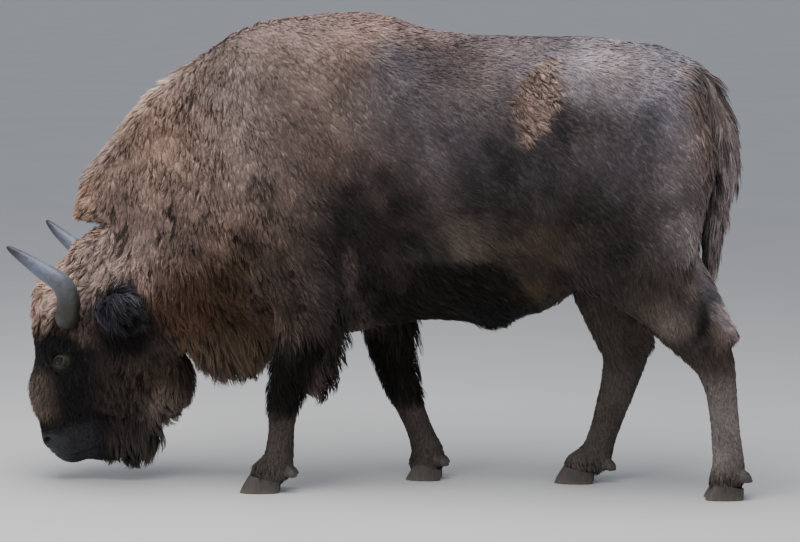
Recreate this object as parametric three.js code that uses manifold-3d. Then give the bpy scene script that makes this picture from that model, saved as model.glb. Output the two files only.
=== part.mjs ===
// A wisent (European bison) bull, life size, standing in mid-stride with its head lowered to graze.
//
// Frame: millimetres, +Z up, head towards -X, the animal's left side towards -Y. The origin lies on
// the floor under the middle of the animal, and the soles of the hooves are flat at Z = 0.
//
// The body is one smooth implicit shape, out to the tips of the coat. It is a blend of sweeps (a line
// of stations with an oval section) and blobs (ellipsoids). The shape is meshed node by node and
// parted by thin flat cuts. Horns, eyes, ears, tail, hooves and dewclaws are solids of their own.
import * as THREE from "three";
import { mergeVertices } from "three/addons/utils/BufferGeometryUtils.js";
import Module from "manifold-3d";

const wasm = await Module();
wasm.setup();

// ---------------------------------------------------------------- driving dimensions

const GAP = 0.3; // between neighbouring nodes
const TRUNK_CELL = [100, 76, 84]; // mesh size along X, Y and Z
const NECK_CELL = [74, 66, 76];
const THIGH_CELL = [54, 48, 60];
const FOREARM_CELL = [46, 42, 56];
const SHANK_CELL = [36, 32, 56];
const HEAD_CELL = [44, 42, 47];
const SWEEP_STEPS = 4; // segments between two stations of a sweep
const EVENING_ROUNDS = 4; // rounds of evening out a mesh

const HOOF_HEIGHT = 66; // at the toe
const HEEL_HEIGHT = 44;
const HOOF_WIDTH = 54; // of one of the two claws
const CLEFT = 6; // between the two claws
const TOE_SLOPE = 38; // how far the front of a claw leans back from toe to coronet
const EYE_RADIUS = 22;

// The head turns and leans about this point between the eyes and the poll.
const HEAD_PIVOT = [-1070, 0, 600];
const HEAD_TURN = -1; // degrees about Z, towards the animal's right
const HEAD_LEAN = 3; // degrees about X: the left side hangs lower

// ---------------------------------------------------------------- stations and blobs

// Trunk sections: x, top, bottom, half width, and how much narrower the top is than the middle.
const TRUNK = [
  [-640, 1545, 620, 165, 0.3],
  [-490, 1672, 545, 232, 0.4],
  [-320, 1710, 535, 272, 0.46],
  [-130, 1722, 560, 286, 0.48],
  [-10, 1708, 586, 286, 0.44],
  [70, 1678, 600, 283, 0.38],
  [170, 1655, 610, 284, 0.32],
  [310, 1639, 606, 292, 0.26],
  [450, 1636, 614, 297, 0.2],
  [580, 1634, 655, 290, 0.16],
  [710, 1633, 745, 272, 0.14],
  [850, 1615, 850, 262, 0.16],
  [960, 1600, 930, 246, 0.18],
  [1050, 1562, 1010, 204, 0.2],
].map(([x, top, bottom, w, egg]) => [x, 0, (top + bottom) / 2, (top - bottom) / 2, w, egg]);

// All other sweeps: x, y, z, half depth in the plane of travel, half width across it, and the
// narrowing as above.
const NECK = [
  [-350, 0, 1150, 520, 250, 0.3],
  [-540, 0, 1060, 490, 238, 0.32],
  [-710, 0, 930, 430, 216, 0.3],
  [-850, 0, 790, 372, 190, 0.24],
  [-945, 0, 690, 250, 158, 0.05],
];

// The head is set out as if it looked straight ahead, from the back of the skull to the lips.
const SKULL = [
  [-1040, 0, 735, 150, 130, 0],
  [-1095, 0, 620, 186, 156, 0],
  [-1106, 0, 505, 184, 155, -0.06],
  [-1126, 0, 400, 158, 120, -0.02],
  [-1144, 0, 300, 138, 94, 0],
  [-1156, 0, 215, 116, 79, 0],
  [-1160, 0, 160, 103, 74, 0],
  [-1148, 0, 128, 84, 66, 0],
];

const FORELEG = {
  left: [
    [-320, -140, 1050, 170, 95],
    [-265, -176, 760, 150, 92],
    [-295, -176, 600, 98, 80],
    [-336, -165, 450, 74, 66],
    [-356, -156, 350, 63, 57],
    [-363, -152, 240, 52, 41],
    [-370, -150, 160, 55, 43],
    [-382, -148, 104, 61, 52],
    [-420, -145, 60, 62, 55],
  ],
  right: [
    [-170, 140, 1050, 170, 95],
    [-80, 176, 760, 150, 92],
    [-30, 174, 600, 104, 80],
    [18, 162, 430, 80, 66],
    [62, 150, 300, 60, 56],
    [102, 141, 205, 52, 41],
    [126, 136, 142, 56, 44],
    [142, 133, 98, 62, 52],
    [132, 132, 58, 60, 55],
  ],
};

const HIND_LEG = {
  left: [
    [955, -118, 1250, 220, 115],
    [905, -160, 990, 222, 118],
    [910, -178, 840, 188, 106],
    [985, -174, 720, 126, 84],
    [1075, -164, 605, 94, 62],
    [1160, -154, 510, 80, 54],
    [1193, -148, 410, 62, 46],
    [1209, -144, 300, 56, 38],
    [1220, -141, 200, 57, 38],
    [1228, -139, 125, 61, 50],
    [1218, -138, 60, 60, 55],
  ],
  right: [
    [935, 118, 1250, 220, 115],
    [845, 156, 990, 222, 118],
    [785, 168, 840, 183, 104],
    [792, 162, 700, 128, 84],
    [825, 152, 580, 100, 62],
    [860, 144, 480, 88, 54],
    [846, 137, 385, 74, 46],
    [814, 129, 275, 63, 38],
    [783, 122, 175, 57, 38],
    [756, 118, 102, 62, 50],
    [702, 115, 58, 61, 55],
  ],
};

// The tendon that runs down the back of the second thigh to the point of the hock.
const TENDON = {
  left: [
    [1055, -158, 900, 40, 36],
    [1105, -158, 800, 42, 34],
    [1172, -157, 685, 34, 25],
    [1227, -153, 580, 33, 28],
  ],
  right: [
    [860, 156, 790, 40, 36],
    [905, 156, 705, 42, 34],
    [932, 152, 605, 34, 25],
    [936, 146, 500, 33, 28],
  ],
};

const TAIL = [
  [1075, 0, 1500, 44, 46],
  [1135, 0, 1455, 46, 46],
  [1185, 0, 1380, 50, 46],
  [1208, 0, 1275, 60, 54],
  [1206, 0, 1170, 64, 60],
  [1186, 0, 1050, 56, 54],
  [1172, 0, 920, 44, 44],
  [1168, 0, 800, 27, 28],
  [1170, 0, 735, 10, 10],
];

// Blobs: centre, half sizes along X, Y and Z, tilt in degrees about Y. With both set, the same blob
// lies on both sides.
const BODY_BLOBS = [
  { at: [-290, 160, 1120], size: [185, 112, 330], tilt: 12, both: true }, // shoulder blade
  { at: [945, 122, 1210], size: [200, 128, 290], tilt: 0, both: true }, // haunch
  { at: [770, 165, 1470], size: [130, 80, 90], tilt: 8, both: true }, // hip bone
  { at: [750, 195, 850], size: [110, 55, 120], tilt: 30, both: true }, // flank fold
];

// Masses of long hair, which the coat fills and the skin leaves out.
const HAIR_BLOBS = [
  { at: [-1042, 0, 1030], size: [88, 96, 80], tilt: 0 }, // crest, where the mane ends above the poll
  { at: [-580, 0, 560], size: [180, 122, 172], tilt: 0 }, // mane under the neck
  { at: [-220, -162, 520], size: [96, 66, 190], tilt: 14 }, // behind the left elbow
  { at: [25, 162, 560], size: [85, 62, 150], tilt: -8 }, // behind the right elbow
  { at: [380, 0, 605], size: [75, 30, 36], tilt: 0 }, // under the belly
];

const HEAD_BLOBS = [
  { at: [-968, 78, 440], size: [128, 74, 185], tilt: 8, both: true }, // cheek
  { at: [-1170, 118, 500], size: [66, 44, 62], tilt: 0, both: true }, // brow and eye socket
  { at: [-1208, 48, 172], size: [56, 34, 50], tilt: 0, both: true }, // nostril wing
  { at: [-1045, 0, 150], size: [92, 60, 84], tilt: 0 }, // chin
];

const HEAD_HAIR_BLOBS = [
  { at: [-1150, 0, 675], size: [145, 150, 120], tilt: 0 }, // curls over the forehead and poll
  { at: [-1232, 0, 330], size: [80, 64, 110], tilt: 0 }, // bridge of the nose
  { at: [-845, 0, 380], size: [152, 115, 172], tilt: 0 }, // throat
  { at: [-925, 0, 190], size: [116, 72, 132], tilt: 0 }, // beard
];

// Paired parts of the head, set out on the left side: y is negative there.
const EYE_AT = [-1160, -146, 475];
const HORN = [
  [-1132, -115, 616, 41, 41],
  [-1126, -182, 640, 42, 42],
  [-1107, -226, 704, 41, 41],
  [-1126, -250, 772, 37, 37],
  [-1196, -264, 826, 30, 30],
  [-1254, -278, 870, 21, 21],
  [-1288, -292, 897, 13, 13],
  [-1304, -300, 911, 6, 6],
];
const EAR = [
  [-1025, -105, 662, 34, 26],
  [-995, -146, 668, 44, 28],
  [-960, -182, 672, 70, 30],
  [-920, -214, 674, 74, 28],
  [-882, -242, 674, 54, 22],
  [-846, -266, 672, 16, 10],
];

// Hooves: middle of the foot's two claws on the floor, and the way the toe points, in degrees from
// -X towards -Y.
const FEET = {
  fore_left: { at: [-444, -144], turn: 3, length: 146 },
  fore_right: { at: [128, 130], turn: -3, length: 132 },
  hind_left: { at: [1212, -136], turn: 4, length: 140 },
  hind_right: { at: [680, 114], turn: -4, length: 146 },
};

const DEWCLAW_SPREAD = 29; // sideways from the middle of the leg
const DEWCLAWS = {
  fore_left: { at: [-326, -148, 72], size: [27, 15, 19] },
  fore_right: { at: [202, 133, 66], size: [27, 15, 19] },
  hind_left: { at: [1290, -139, 78], size: [30, 16, 19] },
  hind_right: { at: [812, 118, 62], size: [29, 16, 19] },
};

// Cuts, each through two points (x, z).
const HEAD_CUT = [
  [-1025, 925],
  [-660, 370],
];
const NECK_CUT = [
  [-620, 1640],
  [-372, 380],
];

// Legs: the box each lies in, the cut that parts it from the trunk, the height of the knee or hock,
// the mesh size.
const LEG_REGIONS = {
  fore_left: {
    low: [-432, -420, -50],
    high: [-40, -62, 700],
    top: [[-520, 545], [-20, 545]],
    joint: 305,
    cell: FOREARM_CELL,
  },
  fore_right: {
    low: [-150, 62, -50],
    high: [300, 420, 700],
    top: [[-220, 545], [280, 545]],
    joint: 292,
    cell: FOREARM_CELL,
  },
  hind_left: {
    low: [540, -420, -50],
    high: [1400, -12, 1100],
    top: [[620, 690], [1170, 935]],
    joint: 395,
    cell: THIGH_CELL,
  },
  hind_right: {
    low: [540, 12, -50],
    high: [1400, 420, 1100],
    top: [[620, 690], [1170, 935]],
    joint: 372,
    cell: THIGH_CELL,
  },
};

// ---------------------------------------------------------------- the implicit shape

const radians = THREE.MathUtils.degToRad;

// Catmull-Rom through rows of numbers, with the given steps between two rows.
function refine(rows, steps) {
  const at = (i) => rows[Math.min(Math.max(i, 0), rows.length - 1)];
  const fine = [];
  for (let i = 0; i < rows.length - 1; i++) {
    for (let s = 0; s < steps; s++) {
      const t = s / steps;
      fine.push(at(i).map((b, k) => spline(t, at(i - 1)[k], b, at(i + 1)[k], at(i + 2)[k])));
    }
  }
  fine.push([...rows[rows.length - 1]]);
  return fine;
}

function spline(t, a, b, c, d) {
  return b + 0.5 * t * (c - a + t * (2 * a - 5 * b + 4 * c - d + t * (3 * (b - c) + d - a)));
}

// A sweep's own distance function. Sections are ovals, depth in the plane of travel by width across it.
// Upright sections stay square to X, whatever the line of their middles does.
function sweep(stations, { steps = SWEEP_STEPS, lateral = [0, 1, 0], cap = 1, upright = false } = {}) {
  const rows = refine(stations.map((s) => (s.length > 5 ? s : [...s, 0])), steps);
  const side = new THREE.Vector3(...lateral);
  const point = (r) => new THREE.Vector3(r[0], r[1], r[2]);
  const samples = rows.map((r, i) => {
    const ahead = point(rows[Math.min(i + 1, rows.length - 1)]);
    const along = upright ? X_AXIS : ahead.sub(point(rows[Math.max(i - 1, 0)])).normalize();
    const across = side.clone().addScaledVector(along, -side.dot(along)).normalize();
    return { at: point(r), along, across, up: new THREE.Vector3().crossVectors(across, along), r };
  });
  const segments = samples.slice(1).map((b, i) => segmentOf(samples[i], b, upright));
  const reach = Math.max(...rows.map((r) => Math.max(r[3], r[4])));
  const low = [0, 1, 2].map((k) => Math.min(...rows.map((r) => r[k])) - reach);
  const high = [0, 1, 2].map((k) => Math.max(...rows.map((r) => r[k])) + reach);
  const field = (x, y, z) => {
    const away = boxDistance(x, y, z, low, high);
    if (away > FAR) return away;
    let least = Infinity;
    for (const g of segments) least = Math.min(least, segmentDistance(g, x, y, z, cap));
    return least;
  };
  return Object.assign(field, { samples, low, high });
}

const X_AXIS = new THREE.Vector3(1, 0, 0);
const FAR = 260; // beyond this a primitive can't touch a blend, so its box's distance will do

function boxDistance(x, y, z, low, high) {
  const dx = Math.max(low[0] - x, 0, x - high[0]);
  const dy = Math.max(low[1] - y, 0, y - high[1]);
  const dz = Math.max(low[2] - z, 0, z - high[2]);
  return Math.hypot(dx, dy, dz);
}

function segmentOf(a, b, upright) {
  const run = b.at.clone().sub(a.at);
  const way = upright ? new THREE.Vector3(run.x, 0, 0) : run;
  return { a, b, run, way, waySquared: way.lengthSq() };
}

function segmentDistance({ a, b, run, way, waySquared }, x, y, z, cap) {
  const px = x - a.at.x;
  const py = y - a.at.y;
  const pz = z - a.at.z;
  const t = Math.min(Math.max((px * way.x + py * way.y + pz * way.z) / waySquared, 0), 1);
  const dx = px - run.x * t;
  const dy = py - run.y * t;
  const dz = pz - run.z * t;
  const mix = (u, v) => u + (v - u) * t;
  const part = (key) =>
    dx * mix(a[key].x, b[key].x) + dy * mix(a[key].y, b[key].y) + dz * mix(a[key].z, b[key].z);
  const depth = mix(a.r[3], b.r[3]);
  const up = part("up");
  const narrowing = 1 - mix(a.r[5], b.r[5]) * Math.min(Math.max(up / depth, -1), 1);
  const width = mix(a.r[4], b.r[4]) * narrowing;
  return ovalDistance(up, part("across"), part("along"), depth, width, cap * Math.min(depth, width));
}

// A close estimate of the distance to an ellipsoid.
function ovalDistance(x, y, z, a, b, c) {
  const size = Math.hypot(x / a, y / b, z / c);
  const slope = Math.hypot(x / (a * a), y / (b * b), z / (c * c));
  return slope < 1e-9 ? -Math.min(a, b, c) : (size * (size - 1)) / slope;
}

function blob({ at, size, tilt }) {
  const cos = Math.cos(radians(tilt));
  const sin = Math.sin(radians(tilt));
  return (x, y, z) => {
    const dx = x - at[0];
    const dz = z - at[2];
    return ovalDistance(dx * cos - dz * sin, y - at[1], dx * sin + dz * cos, ...size);
  };
}

const mirrored = (b) => ({ ...b, at: [b.at[0], -b.at[1], b.at[2]] });
const blobs = (list) => list.flatMap((b) => (b.both ? [b, mirrored(b)] : [b])).map(blob);

function smoothMin(a, b, k) {
  const h = Math.max(k - Math.abs(a - b), 0) / k;
  return Math.min(a, b) - (h * h * k) / 4;
}

// Each entry joins one shape to those before it, with its own blend radius.
const blend = (entries) => (x, y, z) =>
  entries.reduce((least, [shape, k]) => smoothMin(least, shape(x, y, z), k), FAR);

const headTurn = new THREE.Matrix4()
  .makeTranslation(...HEAD_PIVOT)
  .multiply(new THREE.Matrix4().makeRotationZ(radians(HEAD_TURN)))
  .multiply(new THREE.Matrix4().makeRotationX(radians(HEAD_LEAN)))
  .multiply(new THREE.Matrix4().makeTranslation(...HEAD_PIVOT.map((v) => -v)));
const headBack = headTurn.clone().invert().elements;

// A shape set out on the straight head, turned with it.
const onHead = (shape) => (x, y, z) => {
  const m = headBack;
  return shape(
    m[0] * x + m[4] * y + m[8] * z + m[12],
    m[1] * x + m[5] * y + m[9] * z + m[13],
    m[2] * x + m[6] * y + m[10] * z + m[14],
  );
};

const HAIR_BLEND = 60;
const skullShape = blend([
  [sweep(SKULL), 10],
  ...blobs(HEAD_BLOBS).map((b) => [b, 34]),
  ...blobs(HEAD_HAIR_BLOBS).map((b) => [b, HAIR_BLEND]),
]);

const body = blend([
  [sweep(TRUNK, { cap: 0.5, upright: true }), 10],
  [sweep(NECK), 60],
  ...blobs(BODY_BLOBS).map((b) => [b, 60]),
  ...Object.values(FORELEG).map((leg) => [sweep(leg), 60]),
  ...Object.values(HIND_LEG).map((leg) => [sweep(leg), 60]),
  ...Object.values(TENDON).map((tendon) => [sweep(tendon), 26]),
  ...blobs(HAIR_BLOBS).map((b) => [b, HAIR_BLEND]),
  [onHead(skullShape), 40],
]);

// ---------------------------------------------------------------- meshing

function manifoldOf(geometry) {
  const bare = new THREE.BufferGeometry().setAttribute("position", geometry.getAttribute("position"));
  bare.setIndex(geometry.index);
  const merged = mergeVertices(bare, 1e-3);
  return new wasm.Manifold(
    new wasm.Mesh({
      numProp: 3,
      vertProperties: merged.getAttribute("position").array,
      triVerts: new Uint32Array(merged.index.array),
    }),
  );
}

function geometryOf(positions, triangles) {
  return new THREE.BufferGeometry()
    .setAttribute("position", new THREE.Float32BufferAttribute(positions, 3))
    .setIndex(triangles);
}

// The slope of a shape at a point, as a unit vector with the shape's value there.
function slopeAt(shape, p) {
  const e = 1;
  const value = shape(p[0], p[1], p[2]);
  const g = [
    shape(p[0] + e, p[1], p[2]) - value,
    shape(p[0], p[1] + e, p[2]) - value,
    shape(p[0], p[1], p[2] + e) - value,
  ];
  return { value, g, square: g[0] ** 2 + g[1] ** 2 + g[2] ** 2 };
}

// Surface nets: one vertex in each cell that the surface crosses, then evened out and drawn onto the surface.
function netMesh(shape, low, high, cell) {
  const grid = sampleGrid(shape, low, high, cell);
  const { points, vertexOf } = netPoints(grid);
  const quads = netQuads(grid, vertexOf);
  const even = evened(shape, points, quads, Math.min(...cell));
  return manifoldOf(geometryOf(even.flat(), quads.flatMap((q) => splitQuad(q, even))));
}

function sampleGrid(shape, low, high, cell) {
  const count = [0, 1, 2].map((k) => Math.ceil((high[k] - low[k]) / cell[k]) + 1);
  const [nx, ny, nz] = count;
  const index = (i, j, k) => (i * ny + j) * nz + k;
  const values = new Float64Array(nx * ny * nz);
  for (let i = 0; i < nx; i++)
    for (let j = 0; j < ny; j++)
      for (let k = 0; k < nz; k++) {
        const rim = [i, j, k].some((v, axis) => v === 0 || v === count[axis] - 1);
        const p = [low[0] + i * cell[0], low[1] + j * cell[1], low[2] + k * cell[2]];
        values[index(i, j, k)] = rim ? FAR : shape(...p);
      }
  return { low, cell, count, index, values };
}

const CORNERS = [0, 1, 2, 3, 4, 5, 6, 7].map((c) => [c & 1, (c >> 1) & 1, (c >> 2) & 1]);
const EDGES = CORNERS.flatMap((a, i) =>
  CORNERS.map((b, j) => [i, j]).filter(([, j]) => j > i && [1, 2, 4].includes(i ^ j)),
);

function netPoints({ low, cell, count, index, values }) {
  const vertexOf = new Map();
  const points = [];
  for (let i = 0; i < count[0] - 1; i++)
    for (let j = 0; j < count[1] - 1; j++)
      for (let k = 0; k < count[2] - 1; k++) {
        const v = CORNERS.map((c) => values[index(i + c[0], j + c[1], k + c[2])]);
        const crossed = EDGES.filter(([a, b]) => v[a] < 0 !== v[b] < 0);
        if (!crossed.length) continue;
        const sum = [0, 0, 0];
        for (const [a, b] of crossed) {
          const t = v[a] / (v[a] - v[b]);
          for (let d = 0; d < 3; d++) sum[d] += CORNERS[a][d] + t * (CORNERS[b][d] - CORNERS[a][d]);
        }
        vertexOf.set(index(i, j, k), points.length);
        points.push(sum.map((s, d) => low[d] + ([i, j, k][d] + s / crossed.length) * cell[d]));
      }
  return { points, vertexOf };
}

function netQuads({ count, index, values }, vertexOf) {
  const quads = [];
  const steps = [
    [1, 0, 0],
    [0, 1, 0],
    [0, 0, 1],
  ];
  for (let i = 0; i < count[0] - 1; i++)
    for (let j = 0; j < count[1] - 1; j++)
      for (let k = 0; k < count[2] - 1; k++)
        steps.forEach((s, axis) => {
          const here = values[index(i, j, k)] < 0;
          if (here === values[index(i + s[0], j + s[1], k + s[2])] < 0) return;
          const [u, w] = [steps[(axis + 1) % 3], steps[(axis + 2) % 3]];
          const at = (a, b) => {
            const back = [0, 1, 2].map((d) => a * u[d] + b * w[d]);
            return vertexOf.get(index(i - back[0], j - back[1], k - back[2]));
          };
          const quad = [at(1, 1), at(0, 1), at(0, 0), at(1, 0)];
          quads.push(here ? quad : quad.reverse());
        });
  return quads;
}

// Each round moves every point halfway to the middle of its neighbours, then back onto the surface.
function evened(shape, points, quads, cell) {
  const next = points.map(() => new Set());
  for (const q of quads) q.forEach((a, i) => next[a].add(q[(i + 1) % 4]).add(q[(i + 3) % 4]));
  let even = points.map((p) => drawnOnto(shape, p, cell * 0.45));
  for (let round = 0; round < EVENING_ROUNDS; round++) {
    const before = even;
    even = before.map((p, i) => {
      const sum = [0, 0, 0];
      for (const n of next[i]) for (let d = 0; d < 3; d++) sum[d] += before[n][d] / next[i].size;
      return drawnOnto(shape, p.map((v, d) => v + (sum[d] - v) * 0.5), cell * 0.4);
    });
  }
  return even;
}

function splitQuad([a, b, c, d], points) {
  const apart = (i, j) => Math.hypot(...points[i].map((v, k) => v - points[j][k]));
  return apart(a, c) < apart(b, d) ? [a, b, c, a, c, d] : [a, b, d, b, c, d];
}

function drawnOnto(shape, start, most) {
  const p = [...start];
  for (let round = 0; round < 2; round++) {
    const { value, g, square } = slopeAt(shape, p);
    if (square < 1e-6) break;
    for (let d = 0; d < 3; d++) {
      const moved = p[d] - (value * g[d]) / square;
      p[d] = Math.min(Math.max(moved, start[d] - most), start[d] + most);
    }
  }
  return p;
}

// ---------------------------------------------------------------- closed solids from rings

// Rings of points, joined in order and drawn to a point at each end.
function closedRings(rings, first, last) {
  const around = rings[0].length;
  const positions = [...rings.flat(), first, last].flatMap((p) => p.toArray());
  const triangles = [];
  const start = rings.length * around;
  for (let a = 0; a < around; a++) {
    const b = (a + 1) % around;
    for (let i = 0; i < rings.length - 1; i++) {
      const [p, q] = [i * around + a, i * around + b];
      triangles.push(p, q, q + around, p, q + around, p + around);
    }
    triangles.push(start, b, a, start + 1, start - around + a, start - around + b);
  }
  const made = manifoldOf(geometryOf(positions, triangles));
  return made.volume() > 0 ? made : manifoldOf(geometryOf(positions, triangles.reverse()));
}

// The solid of a sweep, optionally grown by a few tenths of a millimetre to cut its own place in a neighbour.
function sweepSolid(stations, { steps = 2, around = 10, lateral = [0, 1, 0], grow = 0, matrix = null }) {
  const { samples } = sweep(stations, { steps, lateral });
  const place = (p) => (matrix ? p.applyMatrix4(matrix) : p);
  const rings = samples.map(({ at, up, across, r }) =>
    Array.from({ length: around }, (_, a) => {
      const angle = (2 * Math.PI * (a + 0.5)) / around;
      const width = r[4] * (1 - r[5] * Math.cos(angle)) + grow;
      const p = at.clone().addScaledVector(up, Math.cos(angle) * (r[3] + grow));
      return place(p.addScaledVector(across, Math.sin(angle) * width));
    }),
  );
  const end = ({ at, along, r }, way) =>
    place(at.clone().addScaledVector(along, way * (0.6 * Math.min(r[3], r[4]) + grow)));
  return closedRings(rings, end(samples[0], -1), end(samples[samples.length - 1], 1));
}

function ballSolid(at, size, { turn = 0, tilt = 0, fine = 1, matrix = null, grow = 0 }) {
  const ball = new THREE.OctahedronGeometry(1, fine);
  ball.scale(...size.map((v) => v + grow));
  ball.rotateY(radians(tilt));
  ball.rotateZ(radians(turn));
  ball.translate(...at);
  if (matrix) ball.applyMatrix4(matrix);
  return manifoldOf(ball);
}

// ---------------------------------------------------------------- cutting

function boxSolid(low, high) {
  const size = high.map((v, k) => v - low[k]);
  const box = new THREE.BoxGeometry(...size);
  box.translate(...low.map((v, k) => v + size[k] / 2));
  return manifoldOf(box);
}

// Everything on the side of a plane that the normal points to, half a gap clear of the plane.
function halfSpace([x, y, z], normal) {
  const n = new THREE.Vector3(...normal).normalize();
  const box = new THREE.BoxGeometry(6000, 6000, 6000);
  box.translate(0, 0, 3000 + GAP / 2);
  box.applyQuaternion(new THREE.Quaternion().setFromUnitVectors(new THREE.Vector3(0, 0, 1), n));
  box.translate(x, y, z);
  return manifoldOf(box);
}

// The two sides of a cut, seen from the animal's left, that runs through two points (x, z).
function sidesOfCut([[xa, za], [xb, zb]]) {
  const normal = [za - zb, 0, xb - xa];
  return {
    above: halfSpace([xa, 0, za], normal),
    below: halfSpace([xa, 0, za], normal.map((v) => -v)),
  };
}

const level = (z) => sidesOfCut([[-1, z], [1, z]]);
const bodyMesh = (low, high, cell) => netMesh(body, low, high, cell);
const largest = (solid) => solid.decompose().sort((a, b) => b.volume() - a.volume())[0];
const common = (first, ...rest) => rest.reduce((solid, cutter) => solid.intersect(cutter), first);
const without = (first, ...rest) => rest.reduce((solid, cutter) => solid.subtract(cutter), first);

// ---------------------------------------------------------------- the parts

const COLOURS = {
  coat: [0x4a3f3a, 0.95],
  neck: [0x665750, 0.95],
  head: [0x38302c, 0.9],
  leg: [0x3a332f, 0.92],
  ear: [0x2c2826, 0.95],
  tail: [0x4c4440, 0.95],
  horn: [0x5c6169, 0.45],
  hoof: [0x4f4845, 0.6],
  eye: [0x15100d, 0.12],
};

const wisent = new THREE.Group();
wisent.name = "wisent";

function add(name, solid, finish) {
  const mesh = largest(solid).getMesh();
  const [color, roughness] = COLOURS[finish];
  const geometry = geometryOf(Array.from(mesh.vertProperties), Array.from(mesh.triVerts));
  const part = new THREE.Mesh(geometry, new THREE.MeshStandardMaterial({ color, roughness, metalness: 0 }));
  part.name = name;
  wisent.add(part);
}

const mirrorRows = (rows) => rows.map(([x, y, ...rest]) => [x, -y, ...rest]);
const SIDES = { left: 1, right: -1 };
const onSide = (rows, side) => (SIDES[side] > 0 ? rows : mirrorRows(rows));
const pointOnSide = ([x, y, z], side) => [x, y * SIDES[side], z];

const hornSolid = (side, grow) =>
  sweepSolid(onSide(HORN, side), { around: 8, lateral: [1, 0, 0], grow, matrix: headTurn });
const earSolid = (side, grow) =>
  sweepSolid(onSide(EAR, side), { around: 8, lateral: [1, 0, 0], grow, matrix: headTurn });
const eyeSolid = (side, grow) =>
  ballSolid(pointOnSide(EYE_AT, side), [EYE_RADIUS, EYE_RADIUS, EYE_RADIUS], {
    fine: 2,
    grow,
    matrix: headTurn,
  });
const tailSolid = (grow) => sweepSolid(TAIL, { around: 8, grow });

// One claw of a hoof: a flat sole, an upright wall and a sloping top under the coronet.
function clawSolid(foot, way) {
  const { at, turn, length } = FEET[foot];
  const ring = (inset, setBack, z) =>
    Array.from({ length: 10 }, (_, a) => {
      const angle = (2 * Math.PI * a) / 10;
      const s = Math.sin(angle);
      const half = length / 2 - inset - setBack / 2;
      const u = -Math.cos(angle) * half + setBack / 2;
      const bulge = Math.sign(s) * Math.abs(s) ** (s > 0 ? 0.8 : 0.4);
      const v = CLEFT / 2 + HOOF_WIDTH / 2 + bulge * (HOOF_WIDTH / 2 - inset);
      const top = z - (z > HEEL_HEIGHT ? ((u + half) / (2 * half)) * (HOOF_HEIGHT - HEEL_HEIGHT) : 0);
      return footPoint(at, turn, u, way * v, top);
    });
  const rings = [ring(3, 0, 0), ring(0, 0, 9), ring(2, TOE_SLOPE, HOOF_HEIGHT)];
  const middle = (r) => r.reduce((sum, p) => sum.add(p), new THREE.Vector3()).multiplyScalar(1 / r.length);
  return closedRings(rings, middle(rings[0]), middle(rings[2]));
}

function footPoint([x, y], turn, u, v, z) {
  const cos = Math.cos(radians(turn));
  const sin = Math.sin(radians(turn));
  return new THREE.Vector3(x + u * cos - v * sin, y + u * sin + v * cos, z);
}

const dewclawSolid = (foot, way, grow) => {
  const { at, size } = DEWCLAWS[foot];
  return ballSolid([at[0], at[1] + way * DEWCLAW_SPREAD, at[2]], size, { tilt: 25, turn: -12 * way, grow });
};

// The lower leg stands on the sloping tops of its two claws.
function aboveHoof(foot) {
  const { at, length } = FEET[foot];
  const toe = at[0] - length / 2 + TOE_SLOPE;
  const heel = at[0] + length / 2;
  return sidesOfCut([[toe, HOOF_HEIGHT], [heel, HEEL_HEIGHT]]).above;
}

const MARGIN = 190; // how far a leg's mesh runs on beyond its cuts
const GROWN = GAP; // what is cut out of a neighbour is this much bigger than the part that sits there

function makeBody() {
  const neckCut = sidesOfCut(NECK_CUT);
  const headCut = sidesOfCut(HEAD_CUT);
  const legs = Object.values(LEG_REGIONS).map(({ low, high, top }) => {
    const grown = boxSolid(low.map((v) => v - GAP), high.map((v) => v + GAP));
    return common(grown, sidesOfCut(top).below.translate(0, 0, GAP));
  });
  const sides = Object.keys(SIDES);
  const sockets = sides.flatMap((s) => [hornSolid(s, GROWN), earSolid(s, GROWN), eyeSolid(s, GROWN)]);
  const ears = sides.map((s) => earSolid(s, GROWN));

  const trunk = bodyMesh([-950, -480, 300], [1360, 480, 1900], TRUNK_CELL);
  add("trunk", without(common(trunk, neckCut.above), ...legs, tailSolid(GROWN)), "coat");
  const neck = bodyMesh([-1400, -430, 130], [-130, 430, 1900], NECK_CELL);
  add("neck", without(common(neck, neckCut.below, headCut.above), ...legs, ...ears), "neck");
  const head = bodyMesh([-1420, -340, -20], [-470, 340, 1150], HEAD_CELL);
  add("head", without(common(head, headCut.below), ...sockets), "head");
}

function makeHeadParts() {
  for (const side of Object.keys(SIDES)) {
    add(`horn_${side}`, hornSolid(side, 0), "horn");
    add(`ear_${side}`, earSolid(side, 0), "ear");
    add(`eye_${side}`, eyeSolid(side, 0), "eye");
  }
}

function makeLeg(name, { low, high, top, joint, cell }) {
  const region = common(boxSolid(low, high), sidesOfCut(top).below);
  const mesh = (from, to, size) =>
    bodyMesh([low[0] - MARGIN, low[1] - MARGIN, from], [high[0] + MARGIN, high[1] + MARGIN, to], size);
  const upper = mesh(joint - MARGIN, Math.max(top[0][1], top[1][1]) + MARGIN, cell);
  const lower = mesh(-MARGIN, joint + MARGIN, SHANK_CELL);
  const dewclaws = [-1, 1].map((way) => dewclawSolid(name, way, GROWN));
  const [kind, side] = name.split("_");
  const thigh = common(upper, region, level(joint).above);
  add(`${kind}leg_${side}_upper`, without(thigh, tailSolid(GROWN)), "leg");
  const shank = common(lower, region, level(joint).below, aboveHoof(name));
  add(`${kind}leg_${side}_lower`, without(shank, ...dewclaws), "leg");
  [-1, 1].forEach((way) => {
    const place = way * SIDES[side] > 0 ? "inner" : "outer";
    add(`hoof_${name}_${place}`, clawSolid(name, way), "hoof");
    add(`dewclaw_${name}_${place}`, dewclawSolid(name, way, 0), "hoof");
  });
}

makeBody();
makeHeadParts();
add("tail", tailSolid(0), "tail");
for (const [name, region] of Object.entries(LEG_REGIONS)) makeLeg(name, region);

export default wisent;
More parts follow.
